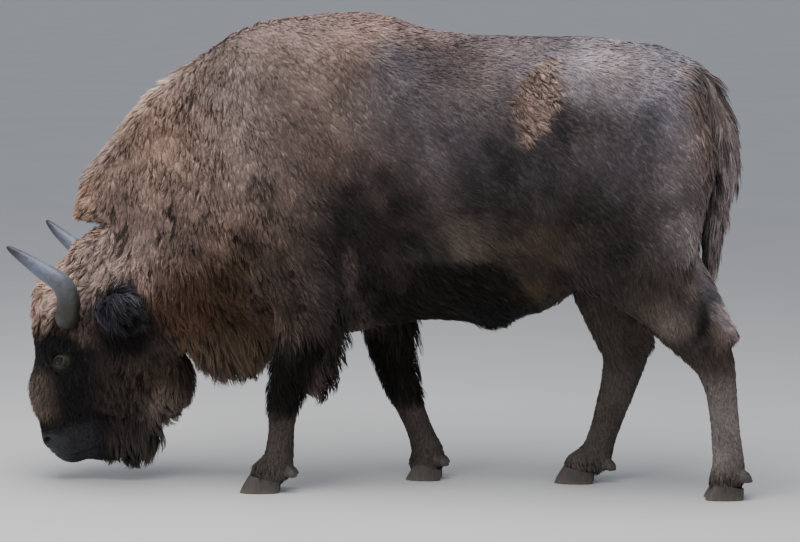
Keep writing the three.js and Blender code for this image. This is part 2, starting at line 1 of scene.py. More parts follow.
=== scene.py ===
"""A wisent (European bison) bull in winter coat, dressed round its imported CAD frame.

The skin is one mesh: the animal's implicit shape, drawn in by the depth of the coat. The coat is
mesh tufts that grow from the skin along the lie of the hair, out to the outline of the solids. Tables
and shapes are in millimetres in the frame's axes: head towards -X, the animal's left side towards -Y,
the floor at Z = 0.
"""
import math

import bmesh
import bpy
import numpy as np
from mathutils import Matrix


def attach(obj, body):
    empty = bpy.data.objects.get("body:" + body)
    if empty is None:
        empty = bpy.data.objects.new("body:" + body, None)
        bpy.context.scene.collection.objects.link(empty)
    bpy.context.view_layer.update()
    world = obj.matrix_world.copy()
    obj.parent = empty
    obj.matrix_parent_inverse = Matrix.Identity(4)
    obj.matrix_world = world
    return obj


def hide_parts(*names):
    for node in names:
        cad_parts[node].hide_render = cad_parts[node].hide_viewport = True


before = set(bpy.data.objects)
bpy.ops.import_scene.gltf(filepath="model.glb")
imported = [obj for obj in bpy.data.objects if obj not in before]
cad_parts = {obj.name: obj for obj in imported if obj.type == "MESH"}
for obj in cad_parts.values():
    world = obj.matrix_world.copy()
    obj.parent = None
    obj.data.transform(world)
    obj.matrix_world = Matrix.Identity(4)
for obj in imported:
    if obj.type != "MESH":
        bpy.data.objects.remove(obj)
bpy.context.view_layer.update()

import openvdb
from mathutils import Vector, kdtree

MM = 0.001
SEED = 7
SIDES = {"left": -1.0, "right": 1.0}

# ---------------------------------------------------------------- stations and blobs, as in the solids

# Trunk sections: x, top, bottom, half width, and how much narrower the top is than the middle.
TRUNK_SECTIONS = [
    (-640, 1545, 620, 165, 0.3),
    (-490, 1672, 545, 232, 0.4),
    (-320, 1710, 535, 272, 0.46),
    (-130, 1722, 560, 286, 0.48),
    (-10, 1708, 586, 286, 0.44),
    (70, 1678, 600, 283, 0.38),
    (170, 1655, 610, 284, 0.32),
    (310, 1639, 606, 292, 0.26),
    (450, 1636, 614, 297, 0.2),
    (580, 1634, 655, 290, 0.16),
    (710, 1633, 745, 272, 0.14),
    (850, 1615, 850, 262, 0.16),
    (960, 1600, 930, 246, 0.18),
    (1050, 1562, 1010, 204, 0.2),
]
TRUNK = [(x, 0, (top + low) / 2, (top - low) / 2, w, egg) for x, top, low, w, egg in TRUNK_SECTIONS]

# All other sweeps: x, y, z, half depth in the plane of travel, half width across it, and the narrowing.
NECK = [
    (-350, 0, 1150, 520, 250, 0.3),
    (-540, 0, 1060, 490, 238, 0.32),
    (-710, 0, 930, 430, 216, 0.3),
    (-850, 0, 790, 372, 190, 0.24),
    (-945, 0, 690, 250, 158, 0.05),
]
# The head is set out as if it looked straight ahead, from the back of the skull to the lips.
SKULL = [
    (-1040, 0, 735, 150, 130, 0),
    (-1095, 0, 620, 186, 156, 0),
    (-1106, 0, 505, 184, 155, -0.06),
    (-1126, 0, 400, 158, 120, -0.02),
    (-1144, 0, 300, 138, 94, 0),
    (-1156, 0, 215, 116, 79, 0),
    (-1160, 0, 160, 103, 74, 0),
    (-1148, 0, 128, 84, 66, 0),
]
FORELEG = {
    "left": [
        (-320, -140, 1050, 170, 95),
        (-265, -176, 760, 150, 92),
        (-295, -176, 600, 98, 80),
        (-336, -165, 450, 74, 66),
        (-356, -156, 350, 63, 57),
        (-363, -152, 240, 52, 41),
        (-370, -150, 160, 55, 43),
        (-382, -148, 104, 61, 52),
        (-420, -145, 60, 62, 55),
    ],
    "right": [
        (-170, 140, 1050, 170, 95),
        (-80, 176, 760, 150, 92),
        (-30, 174, 600, 104, 80),
        (18, 162, 430, 80, 66),
        (62, 150, 300, 60, 56),
        (102, 141, 205, 52, 41),
        (126, 136, 142, 56, 44),
        (142, 133, 98, 62, 52),
        (132, 132, 58, 60, 55),
    ],
}
HIND_LEG = {
    "left": [
        (955, -118, 1250, 220, 115),
        (905, -160, 990, 222, 118),
        (910, -178, 840, 188, 106),
        (985, -174, 720, 126, 84),
        (1075, -164, 605, 94, 62),
        (1160, -154, 510, 80, 54),
        (1193, -148, 410, 62, 46),
        (1209, -144, 300, 56, 38),
        (1220, -141, 200, 57, 38),
        (1228, -139, 125, 61, 50),
        (1218, -138, 60, 60, 55),
    ],
    "right": [
        (935, 118, 1250, 220, 115),
        (845, 156, 990, 222, 118),
        (785, 168, 840, 183, 104),
        (792, 162, 700, 128, 84),
        (825, 152, 580, 100, 62),
        (860, 144, 480, 88, 54),
        (846, 137, 385, 74, 46),
        (814, 129, 275, 63, 38),
        (783, 122, 175, 57, 38),
        (756, 118, 102, 62, 50),
        (702, 115, 58, 61, 55),
    ],
}
# The tendon that runs down the back of the second thigh to the point of the hock.
TENDON = {
    "left": [
        (1055, -158, 900, 40, 36),
        (1105, -158, 800, 42, 34),
        (1172, -157, 685, 34, 25),
        (1227, -153, 580, 33, 28),
    ],
    "right": [
        (860, 156, 790, 40, 36),
        (905, 156, 705, 42, 34),
        (932, 152, 605, 34, 25),
        (936, 146, 500, 33, 28),
    ],
}
TAIL = [
    (1075, 0, 1500, 44, 46),
    (1135, 0, 1455, 46, 46),
    (1185, 0, 1380, 50, 46),
    (1208, 0, 1275, 60, 54),
    (1206, 0, 1170, 64, 60),
    (1186, 0, 1050, 56, 54),
    (1172, 0, 920, 44, 44),
    (1168, 0, 800, 27, 28),
    (1170, 0, 735, 10, 10),
]
EYE_AT = np.array((-1160.0, -146.0, 475.0))  # of the left side, as HORN and EAR are
EYE_RADIUS = 22.0
HORN = [
    (-1132, -115, 616, 41, 41),
    (-1126, -182, 640, 42, 42),
    (-1107, -226, 704, 41, 41),
    (-1126, -250, 772, 37, 37),
    (-1196, -264, 826, 30, 30),
    (-1254, -278, 870, 21, 21),
    (-1288, -292, 897, 13, 13),
    (-1304, -300, 911, 6, 6),
]
EAR = [
    (-1025, -105, 662, 34, 26),
    (-995, -146, 668, 44, 28),
    (-960, -182, 672, 70, 30),
    (-920, -214, 674, 74, 28),
    (-882, -242, 674, 54, 22),
    (-846, -266, 672, 16, 10),
]
# Blobs: centre, half sizes along X, Y and Z, tilt in degrees about Y, and whether both sides have one.
BODY_BLOBS = {
    "shoulder blade": ((-290, 160, 1120), (185, 112, 330), 12, True),
    "haunch": ((945, 122, 1210), (200, 128, 290), 0, True),
    "hip bone": ((770, 165, 1470), (130, 80, 90), 8, True),
    "flank fold": ((750, 195, 850), (110, 55, 120), 30, True),
}
HAIR_BLOBS = {
    "crest": ((-1042, 0, 1030), (88, 96, 80), 0, False),
    "mane": ((-580, 0, 560), (180, 122, 172), 0, False),
    "left elbow": ((-220, -162, 520), (96, 66, 190), 14, False),
    "right elbow": ((25, 162, 560), (85, 62, 150), -8, False),
    "belly tuft": ((380, 0, 605), (75, 30, 36), 0, False),
}
HEAD_BLOBS = {
    "cheek": ((-968, 78, 440), (128, 74, 185), 8, True),
    "brow": ((-1170, 118, 500), (66, 44, 62), 0, True),
    "nostril wing": ((-1208, 48, 172), (56, 34, 50), 0, True),
    "chin": ((-1045, 0, 150), (92, 60, 84), 0, False),
}
HEAD_HAIR_BLOBS = {
    "curls": ((-1150, 0, 675), (145, 150, 120), 0, False),
    "nose bridge": ((-1232, 0, 330), (80, 64, 110), 0, False),
    "throat": ((-845, 0, 380), (152, 115, 172), 0, False),
    "beard": ((-925, 0, 190), (116, 72, 132), 0, False),
}
HEAD_PIVOT = np.array((-1070.0, 0.0, 600.0))
HEAD_TURN = -1  # degrees about Z
HEAD_LEAN = 3  # degrees about X
FEET = {  # middle of the foot on the floor, turn in degrees, length
    "fore_left": ((-444, -144), 3, 146),
    "fore_right": ((128, 130), -3, 132),
    "hind_left": ((1212, -136), 4, 140),
    "hind_right": ((680, 114), -4, 146),
}
DEWCLAW_SPREAD = 29
DEWCLAWS = {
    "fore_left": ((-326, -148, 72), (27, 15, 19)),
    "fore_right": ((202, 133, 66), (27, 15, 19)),
    "hind_left": ((1290, -139, 78), (30, 16, 19)),
    "hind_right": ((812, 118, 62), (29, 16, 19)),
}
HOOF_HEIGHT = 66
HEEL_HEIGHT = 44
HOOF_WIDTH = 54
CLEFT = 6
TOE_SLOPE = 38

# ---------------------------------------------------------------- small tools


def step(low, high, value):
    """0 below low, 1 above high, smooth between; low may be the larger."""
    t = np.clip((value - low) / (high - low), 0, 1)
    return t * t * (3 - 2 * t)


def toward(value, target, share):
    """The value, moved part of the way to the target."""
    return value + (target - value) * share


def ridge(value, width):
    """1 at zero, falling off smoothly to both sides."""
    return np.exp(-((value / width) ** 2))


def turned(a, b, degrees):
    """Two coordinates turned about the third, from the first of them to the second."""
    cos, sin = math.cos(math.radians(degrees)), math.sin(math.radians(degrees))
    return a * cos - b * sin, a * sin + b * cos


def unit(v):
    return v / np.maximum(np.linalg.norm(v, axis=-1, keepdims=True), 1e-9)


def dot(a, b):
    return np.einsum("...i,...i->...", a, b)


def linear(red, green, blue):
    """A colour given in sRGB from 0 to 255, as linear light."""
    c = np.array((red, green, blue)) / 255
    return np.where(c < 0.04045, c / 12.92, ((c + 0.055) / 1.055) ** 2.4)


class Waves:
    """A smooth random field from -1 to 1 or so, with features of about the given size."""

    COUNT = 18

    def __init__(self, seed, size):
        rng = np.random.default_rng(seed)
        turns = unit(rng.normal(size=(self.COUNT, 3))) * rng.uniform(0.6, 1.5, (self.COUNT, 1))
        self.waves = turns * (math.tau / size / 2)
        self.phase = rng.uniform(0, math.tau, self.COUNT)

    def __call__(self, p):
        return np.sin(p @ self.waves.T + self.phase).sum(1) * (1.6 / self.COUNT) ** 0.5 / 1.4


# ---------------------------------------------------------------- the implicit shape

FAR = 260.0
REACH = 95.0  # how far from a shape its distance is worked out


def spline(t, a, b, c, d):
    return b + 0.5 * t * (c - a + t * (2 * a - 5 * b + 4 * c - d + t * (3 * (b - c) + d - a)))


def refined(rows, steps):
    """Catmull-Rom through the rows, with the given steps between two of them."""
    rows = np.array([tuple(r) + (0,) * (6 - len(r)) for r in rows], float)
    last = len(rows) - 1
    fine = [
        spline(s / steps, rows[max(i - 1, 0)], rows[i], rows[i + 1], rows[min(i + 2, last)])
        for i in range(last)
        for s in range(steps)
    ]
    return np.array(fine + [rows[-1]])


def oval_distance(x, y, z, a, b, c):
    """A close estimate of the distance to an ellipsoid."""
    size = np.sqrt((x / a) ** 2 + (y / b) ** 2 + (z / c) ** 2)
    slope = np.sqrt((x / a**2) ** 2 + (y / b**2) ** 2 + (z / c**2) ** 2)
    return size * (size - 1) / np.maximum(slope, 1e-9)


class Sweep:
    """An oval section swept along stations, as a distance function."""

    def __init__(self, stations, steps=4, lateral=(0, 1, 0), cap=1.0, upright=False):
        self.rows = rows = refined(stations, steps)
        count = len(rows)
        ahead, behind = np.minimum(np.arange(count) + 1, count - 1), np.maximum(np.arange(count) - 1, 0)
        self.along = unit(rows[ahead, :3] - rows[behind, :3])
        if upright:
            self.along = np.tile((1.0, 0.0, 0.0), (count, 1))
        side = np.array(lateral, float)
        self.across = unit(side - self.along * (self.along @ side)[:, None])
        self.up = np.cross(self.across, self.along)
        self.cap, self.upright = cap, upright
        lengths = np.linalg.norm(np.diff(rows[:, :3], axis=0), axis=1)
        self.run = np.concatenate(([0], np.cumsum(lengths))) / lengths.sum()

    def segment(self, i, p):
        """Parts of p about segment i: up, across, along, and the section's half sizes there."""
        a, b = self.rows[i], self.rows[i + 1]
        run = b[:3] - a[:3]
        way = run * (1, 0, 0) if self.upright else run
        offset = p - a[:3]
        t = np.clip(offset @ way / (way @ way), 0, 1)
        offset = offset - t[:, None] * run
        part = lambda frames: dot(offset, toward(frames[i], frames[i + 1], t[:, None]))
        depth = toward(a[3], b[3], t)
        up = part(self.up)
        width = toward(a[4], b[4], t) * (1 - toward(a[5], b[5], t) * np.clip(up / depth, -1, 1))
        return up, part(self.across), part(self.along), depth, width, t

    def near(self, i, p, rim):
        a, b = self.rows[i], self.rows[i + 1]
        reach = max(a[3], a[4], b[3], b[4]) + rim
        box = np.array((reach, reach, reach))
        if self.upright:
            box[0] = rim
        low, high = np.minimum(a[:3], b[:3]) - box, np.maximum(a[:3], b[:3]) + box
        return np.nonzero(((p >= low) & (p <= high)).all(1))[0]

    def __call__(self, p, rim=REACH):
        least = np.full(len(p), FAR)
        for i in range(len(self.rows) - 1):
            index = self.near(i, p, rim)
            if len(index):
                up, across, along, depth, width, _ = self.segment(i, p[index])
                value = oval_distance(up, across, along, depth, width, self.cap * np.minimum(depth, width))
                least[index] = np.minimum(least[index], value)
        return least

    def unwrap(self, p):
        """Each point's place along the sweep and round it, both from 0 to 1."""
        least = np.full(len(p), 1e9)
        place = np.zeros((len(p), 2))
        for i in range(len(self.rows) - 1):
            up, across, along, depth, width, t = self.segment(i, p)
            value = oval_distance(up, across, along, depth, width, np.minimum(depth, width))
            index = np.nonzero(value < least)[0]
            least[index] = value[index]
            place[index, 0] = toward(self.run[i], self.run[i + 1], t)[index]
            place[index, 1] = (np.arctan2(across, up) / math.tau % 1)[index]
        return place


class Blob:
    def __init__(self, at, size, tilt):
        self.at, self.size, self.tilt = np.array(at, float), size, tilt

    def __call__(self, p, rim=REACH):
        least = np.full(len(p), FAR)
        index = np.nonzero((np.abs(p - self.at) <= max(self.size) + rim).all(1))[0]
        x, y, z = (p[index] - self.at).T
        x, z = turned(x, z, self.tilt)
        least[index] = oval_distance(x, y, z, *self.size)
        return least


def blobs(table):
    """The blobs of a table, on both sides where it says so."""
    made = []
    for at, size, tilt, both in table.values():
        made.append(Blob(at, size, tilt))
        if both:
            made.append(Blob((at[0], -at[1], at[2]), size, tilt))
    return made


def smooth_min(a, b, k):
    """The lesser of two distances, blended where they differ by less than k."""
    h = np.maximum(k - np.abs(a - b), 0) / k
    return np.minimum(a, b) - h * h * k / 4


def blend(shapes):
    """Joins (shape, blend radius) pairs in turn."""

    def field(p):
        least = np.full(len(p), FAR)
        for shape, k in shapes:
            least = smooth_min(least, shape(p), k)
        return least

    return field


def head_axes():
    (cos_z, sin_z), (cos_x, sin_x) = (turned(1, 0, degrees) for degrees in (HEAD_TURN, HEAD_LEAN))
    about_z = np.array(((cos_z, -sin_z, 0), (sin_z, cos_z, 0), (0, 0, 1)))
    about_x = np.array(((1, 0, 0), (0, cos_x, -sin_x), (0, sin_x, cos_x)))
    return about_z @ about_x


HEAD_AXES = head_axes()


def from_head(p):
    """Places on the straight head, turned with it."""
    return (p - HEAD_PIVOT) @ HEAD_AXES.T + HEAD_PIVOT


def to_head(p):
    """Places about the turned head, put back where they are when it looks straight ahead."""
    return (p - HEAD_PIVOT) @ HEAD_AXES + HEAD_PIVOT


def on_head(shape):
    return lambda p: shape(to_head(p))


def mirrored(rows):
    return [(r[0], -r[1]) + tuple(r[2:]) for r in rows]


def both_sides(rows):
    return {"left": rows, "right": mirrored(rows)}


PARTS = {
    "trunk": Sweep(TRUNK, cap=0.5, upright=True),
    "neck": Sweep(NECK),
    "head": on_head(Sweep(SKULL)),
    "tail": Sweep(TAIL),
}
for side in SIDES:
    PARTS[f"foreleg_{side}"] = Sweep(FORELEG[side])
    PARTS[f"hindleg_{side}"] = Sweep(HIND_LEG[side])
    PARTS[f"ear_{side}"] = on_head(Sweep(both_sides(EAR)[side], lateral=(1, 0, 0)))

TENDONS = {side: Sweep(TENDON[side]) for side in SIDES}
skull_shape = blend(
    [(Sweep(SKULL), 10)]
    + [(b, 34) for b in blobs(HEAD_BLOBS)]
    + [(b, 60) for b in blobs(HEAD_HAIR_BLOBS)]
)
coat_shape = blend(
    [(PARTS["trunk"], 10), (PARTS["neck"], 60)]
    + [(b, 60) for b in blobs(BODY_BLOBS)]
    + [(PARTS[f"foreleg_{side}"], 60) for side in SIDES]
    + [(PARTS[f"hindleg_{side}"], 60) for side in SIDES]
    + [(TENDONS[side], 26) for side in SIDES]
    + [(b, 60) for b in blobs(HAIR_BLOBS)]
    + [(on_head(skull_shape), 40)]
)

# ---------------------------------------------------------------- the coat's depth

HEAD_CUT = ((-1025, 925), (-660, 370))  # the line from poll to jaw, seen from the side
SOLE_DEPTH = 28.0  # the skin ends this far above the floor, inside the hooves


def head_side(p):
    """How far a point lies on the head's side of the line from poll to jaw."""
    (xa, za), (xb, zb) = HEAD_CUT
    normal = np.array((za - zb, xb - xa)) / math.hypot(za - zb, xb - xa)
    return -(p[:, 0] - xa) * normal[0] - (p[:, 2] - za) * normal[1]


def hair_mass(name, p, rim=30.0):
    """1 well inside one of the masses of long hair, 0 outside it."""
    table, place = (HAIR_BLOBS, p) if name in HAIR_BLOBS else (HEAD_HAIR_BLOBS, to_head(p))
    at, size, tilt, _ = table[name]
    return step(rim, -rim, Blob(at, size, tilt)(place))


GROOVES = {  # between the tendon and the bone above each hock
    "left outside": ((1152, -212, 640), (24, 24, 92), 28),
    "left inside": ((1152, -102, 640), (24, 24, 92), 28),
    "right outside": ((893, 204, 585), (22, 24, 84), 14),
    "right inside": ((893, 96, 585), (22, 24, 84), 14),
}
FOLDS = {  # of the skin behind the poll
    "left poll": ((-985, -165, 858), (42, 70, 9), 38),
    "right poll": ((-985, 165, 858), (42, 70, 9), 38),
}
NAPE_NOTCH = Blob((-1100, 0, 926), (135, 210, 34), -16)  # between the crest's tip and the poll
GROOVE_DEPTH, FOLD_DEPTH, NOTCH_DEPTH = 24, 20, 110


def nearest(part, p):
    """The distance to the nearer one of a pair of parts."""
    return np.minimum(PARTS[f"{part}_left"](p), PARTS[f"{part}_right"](p))


BODY_DEPTH, LEG_DEPTH, FACE_DEPTH = 8, 5, 5  # of the coat where it is shortest
WOOL, NAPE_WOOL, SLEEVE, GASKIN_HAIR = 6, 4, 10, 3  # and what the longer hair adds
CURLS_DEPTH, CHEEK_DEPTH, MUZZLE_BARE = 13, 6, 2.5
EYE_DEPTH, TENDON_DEPTH, SEAT_DEPTH, EAR_DEPTH, TAIL_DEPTH = 4.5, 3, 6, 12, 24
EXTRA_DEPTH = {
    "crest": 16,
    "mane": 14,
    "left elbow": 14,
    "right elbow": 14,
    "belly tuft": 12,
    "curls": 4,
    "nose bridge": 10,
    "throat": 8,
    "beard": 14,
}


def coat_depth(p):
    """How deep the skin lies under the coat's outline, in millimetres."""
    x, z = p[:, 0], p[:, 2]
    woolly = step(120, -350, x)
    depth = BODY_DEPTH + WOOL * woolly + NAPE_WOOL * step(1350, 1650, z) * step(200, -200, x)
    on_fore = step(25, -5, nearest("foreleg", p)) * step(620, 520, z)
    on_hind = step(25, -5, nearest("hindleg", p)) * step(800, 560, z)
    depth = toward(depth, LEG_DEPTH + SLEEVE * step(250, 420, z), on_fore)
    depth = toward(depth, LEG_DEPTH + GASKIN_HAIR * step(400, 700, z), on_hind)
    depth = np.where(z < 160, np.minimum(depth, 4 + 4 * step(90, 160, z)), depth)
    on_head_side = step(-25, 25, head_side(p)) * (1 - np.maximum(on_fore, on_hind))
    h = to_head(p)
    face = FACE_DEPTH + CURLS_DEPTH * step(500, 640, h[:, 2]) + CHEEK_DEPTH * step(-1120, -960, h[:, 0])
    face = face - MUZZLE_BARE * step(235, 190, h[:, 2]) * step(-1020, -1080, h[:, 0])
    eye = np.linalg.norm(h * (1, 0, 1) - EYE_AT * (1, 0, 1), axis=1)
    face = toward(face, EYE_DEPTH, step(75, 40, eye))
    depth = toward(depth, face, on_head_side)
    for name, more in EXTRA_DEPTH.items():
        depth = depth + more * hair_mass(name, p)
    depth = depth - 16 * hair_mass("mane", p) * step(-570, -470, x)
    tendons = np.minimum(TENDONS["left"](p), TENDONS["right"](p))
    depth = toward(depth, TENDON_DEPTH, step(55, 10, tendons))
    for cuts, more, rim in ((GROOVES, GROOVE_DEPTH, 14), (FOLDS, FOLD_DEPTH, 8)):
        for at, size, tilt in cuts.values():
            depth = depth + more * step(rim, -rim, Blob(at, size, tilt)(p))
    depth = depth + NOTCH_DEPTH * step(26, -30, NAPE_NOTCH(p))
    tail = PARTS["tail"](p)
    seat = np.minimum(depth, SEAT_DEPTH)
    depth = depth + (seat - depth) * step(70, 20, tail) * step(1040, 1100, x)
    depth = toward(depth, EAR_DEPTH, step(25, -2, nearest("ear", p)))
    return depth + (TAIL_DEPTH - depth) * step(14, -6, tail) * step(1150, 1200, x)


with_ears = blend(
    [(coat_shape, 10), (PARTS["ear_left"], 14), (PARTS["ear_right"], 14), (PARTS["tail"], 20)]
)


def dewclaw_cuffs():
    """Small swellings of the skin that hold the roots of the dewclaws."""
    cuffs = []
    for (x, y, z), (long, wide, high) in DEWCLAWS.values():
        for way in (-1, 1):
            at = (x - 0.42 * long, y + way * (DEWCLAW_SPREAD - 2), z + 5)
            cuffs.append((Blob(at, (0.95 * long, wide + 1, high + 1), 25), 14))
    return blend(cuffs)


CUFFS = dewclaw_cuffs()


def skin_shape(p):
    drawn_in = with_ears(p) + coat_depth(p)
    drawn_in = smooth_min(drawn_in, CUFFS(p), 16)
    return np.maximum(drawn_in, SOLE_DEPTH - p[:, 2])


# ---------------------------------------------------------------- a shape on a grid


class Grid:
    """Values on a regular grid, read between its points."""

    def __init__(self, low, cell, values):
        self.low, self.cell, self.values = np.array(low, float), cell, values

    def finer(self):
        """The same field with a point between each two."""
        v = self.values
        for axis in range(3):
            v = np.moveaxis(v, axis, 0)
            pad = np.concatenate((v[:1], v, v[-1:]))
            middle = (9 * (pad[1:-2] + pad[2:-1]) - pad[:-3] - pad[3:]) / 16
            out = np.empty((2 * len(v) - 1,) + v.shape[1:], v.dtype)
            out[0::2], out[1::2] = v, middle
            v = np.moveaxis(out, 0, axis)
        return Grid(self.low, self.cell / 2, np.ascontiguousarray(v))

    def __call__(self, p):
        g = np.clip((p - self.low) / self.cell, 0, np.array(self.values.shape) - 1.001)
        i = g.astype(int)
        t = g - i
        out = np.zeros(len(p))
        for corner in range(8):
            o = np.array((corner & 1, corner >> 1 & 1, corner >> 2 & 1))
            w = np.prod(np.where(o, t, 1 - t), axis=1)
            j = i + o
            out += w * self.values[j[:, 0], j[:, 1], j[:, 2]]
        return out

    def slope(self, p):
        e = self.cell * 0.75
        axes = np.eye(3) * e
        return np.stack([(self(p + a) - self(p - a)) / (2 * e) for a in axes], 1)


GRID_LOW = np.array((-1350.0, -342.0, -36.0))
GRID_HIGH = np.array((1350.0, 342.0, 1764.0))
GRID_CELL = 18.0


def on_grid(shape, skip_outside=130.0, skip_inside=-190.0):
    """Works out a shape on the grid: roughly everywhere, and in full near its surface."""
    count = np.round((GRID_HIGH - GRID_LOW) / GRID_CELL).astype(int) + 1
    coarse = 4
    rough_count = (count - 1) // coarse + 2
    index = np.indices(rough_count).reshape(3, -1).T
    rough = shape(GRID_LOW + index * GRID_CELL * coarse).reshape(rough_count)
    values = rough
    for axis in range(3):
        values = np.repeat(values, coarse, axis)
    values = values[: count[0], : count[1], : count[2]].copy()
    close = np.argwhere((values < skip_outside) & (values > skip_inside))
    values[tuple(close.T)] = shape(GRID_LOW + close * GRID_CELL)
    return Grid(GRID_LOW, GRID_CELL, values.astype(np.float32))


# ---------------------------------------------------------------- the skin


def net_of(grid):
    """The grid's surface as points and quads, its faces pointing out."""
    volume = openvdb.FloatGrid(FAR)
    volume.copyFromArray(grid.values)
    points, quads = volume.convertToQuads(isovalue=0.0)
    points = points * grid.cell + grid.low
    a, b, c, d = (points[quads[:, i]] for i in range(4))
    if dot(a, np.cross(c - a, d - b)).sum() < 0:
        quads = quads[:, ::-1]
    return points.astype(float), quads.astype(np.int64)


def edges_of(loops, starts):
    """Both ends of every face's edges, each way."""
    following = np.arange(len(loops)) + 1
    following[np.append(starts[1:], len(loops)) - 1] = starts
    a, b = loops, loops[following]
    return np.concatenate((a, b)), np.concatenate((b, a))


def spread(values, edges, rounds, share=0.5):
    """Each round moves every row part of the way to the middle of its neighbours."""
    a, b = edges
    number = np.bincount(a, minlength=len(values))[:, None]
    values = values.copy()
    for _ in range(rounds):
        columns = [np.bincount(a, weights=v[b], minlength=len(values)) for v in values.T]
        values += (np.stack(columns, 1) / number - values) * share
    return values


def onto(field, points, rounds=2, most=3.0):
    """Moves points to the field's surface, by no more than the given distance each round."""
    for _ in range(rounds):
        slope = field.slope(points)
        square = np.maximum(dot(slope, slope), 0.05)
        points = points - slope * np.clip(field(points) / square, -most, most)[:, None]
    return points


def mesh_arrays(mesh):
    points = np.empty(len(mesh.vertices) * 3)
    mesh.vertices.foreach_get("co", points)
    loops = np.empty(len(mesh.loops), np.int64)
    mesh.loops.foreach_get("vertex_index", loops)
    starts = np.empty(len(mesh.polygons), np.int64)
    mesh.polygons.foreach_get("loop_start", starts)
    return points.reshape(-1, 3), loops, starts


def new_mesh(name, points, loops, starts):
    mesh = bpy.data.meshes.new(name)
    mesh.vertices.add(len(points))
    mesh.vertices.foreach_set("co", np.ascontiguousarray(points, np.float32).ravel())
    mesh.loops.add(len(loops))
    mesh.loops.foreach_set("vertex_index", loops.astype(np.int32))
    mesh.polygons.add(len(starts))
    mesh.polygons.foreach_set("loop_start", starts.astype(np.int32))
    mesh.update(calc_edges=True)
    mesh.shade_smooth()
    return mesh


def subdivided(mesh, chosen):
    """Splits the faces whose points are all chosen, each into four."""
    points, _, _ = mesh_arrays(mesh)
    flags = chosen(points)
    bm = bmesh.new()
    bm.from_mesh(mesh)
    edges = [e for e in bm.edges if flags[e.verts[0].index] and flags[e.verts[1].index]]
    bmesh.ops.subdivide_edges(bm, edges=edges, cuts=1, use_grid_fill=True)
    bm.to_mesh(mesh)
    bm.free()


def move_points(mesh, points):
    mesh.vertices.foreach_set("co", points.astype(np.float32).ravel())
    mesh.update()


def vertex_normals(mesh):
    normals = np.empty(len(mesh.vertices) * 3)
    mesh.vertex_normals.foreach_get("vector", normals)
    return normals.reshape(-1, 3)


def straight_side(points):
    """Places on the straight head, folded over to the left side."""
    h = to_head(points)
    h[:, 1] = -np.abs(h[:, 1])
    return h


EYE_AXIS = unit(np.array((-0.32, -1.0, -0.05)))  # the way the left eye looks
EYE_LENGTHWISE = unit(np.cross(EYE_AXIS, np.cross((-0.75, 0.0, -0.66), EYE_AXIS)))
EYE_CROSSWISE = np.cross(EYE_AXIS, EYE_LENGTHWISE)
EYE_OPENING = (20.0, 14.0)  # half length and half height
LID = 2.6  # thickness
LID_MARGIN, LID_CREASE, EYE_POCKET = 1.6, 2.2, 9.0  # height, depth, and depth behind the opening
NOSTRIL_AT = np.array((-1222.0, -52.0, 158.0))
NOSTRIL_SIZE = (21.0, 9.0)
MOUTH_CORNER = np.array((-1062.0, 0.0, 128.0))
MOUTH_FRONT = np.array((-1222.0, 0.0, 96.0))
MOUTH_SAG = 10  # of its line between corner and front
NOSTRIL_DEPTH, NOSTRIL_RIM = 17, 3.0
MOUTH_DEPTH, MOUTH_WIDTH, LIP_SWELL = 6.5, 3.4, 2.0
NOSE_GROOVE_DEPTH, NOSE_GROOVE_WIDTH = 3.5, 4.0


def eye_places(h):
    """Places about the eye: along its opening, across it, and out."""
    offset = h - EYE_AT
    return offset @ EYE_LENGTHWISE, offset @ EYE_CROSSWISE, offset @ EYE_AXIS


def eye_oval(s, t):
    """How far out a place about the eye lies, where 1 is the rim of its opening."""
    return np.hypot(s / EYE_OPENING[0], t / EYE_OPENING[1])


def form_lids(h):
    """Draws the skin over the eyeball as lids, and into the head behind their opening."""
    s, t, out = eye_places(h)
    radius = np.hypot(s, t)
    oval = eye_oval(s, t)
    ball = np.sqrt(np.maximum((EYE_RADIUS + LID) ** 2 - radius**2, 0))
    lid = ball + LID_MARGIN * ridge(oval - 1.12, 0.16) - EYE_POCKET * step(1.03, 0.92, oval)
    crease = -LID_CREASE * ridge(oval - 1.75, 0.16) * step(-5, 4, t)
    share = step(40, 21, radius) * (out > -12)
    lift = (lid - out) * share + crease * step(48, 30, radius) * (out > -12)
    return h + EYE_AXIS * lift[:, None]


def form_muzzle(h, normal):
    """Nostrils, the line of the mouth and the groove between the nostrils."""
    offset = h - NOSTRIL_AT
    along = unit(np.array((0.55, -0.45, 0.70)))
    across = unit(np.cross(along, (-0.72, -0.69, 0.0)))
    s, t = offset @ along, offset @ across
    t = t - 0.012 * s**2
    oval = np.hypot(s / NOSTRIL_SIZE[0], t / NOSTRIL_SIZE[1])
    near = step(45, 30, np.linalg.norm(offset, axis=1))
    move = (-NOSTRIL_DEPTH * step(1.1, 0.55, oval) + NOSTRIL_RIM * ridge(oval - 1.45, 0.3)) * near
    run = MOUTH_FRONT - MOUTH_CORNER
    place = np.clip((h - MOUTH_CORNER) @ run / (run @ run), -0.05, 1.2)
    line_z = MOUTH_CORNER[2] + run[2] * place - MOUTH_SAG * np.sin(np.clip(place, 0, 1) * math.pi)
    off_line = h[:, 2] - line_z
    mouth = step(-0.06, 0.08, place)
    move = move - MOUTH_DEPTH * ridge(off_line, MOUTH_WIDTH) * mouth
    move = move + LIP_SWELL * ridge(off_line - 10, 8) * mouth
    front = step(-1175, -1215, h[:, 0]) * step(235, 200, h[:, 2])
    move = move - NOSE_GROOVE_DEPTH * ridge(h[:, 1], NOSE_GROOVE_WIDTH) * front
    return h + normal * move[:, None]


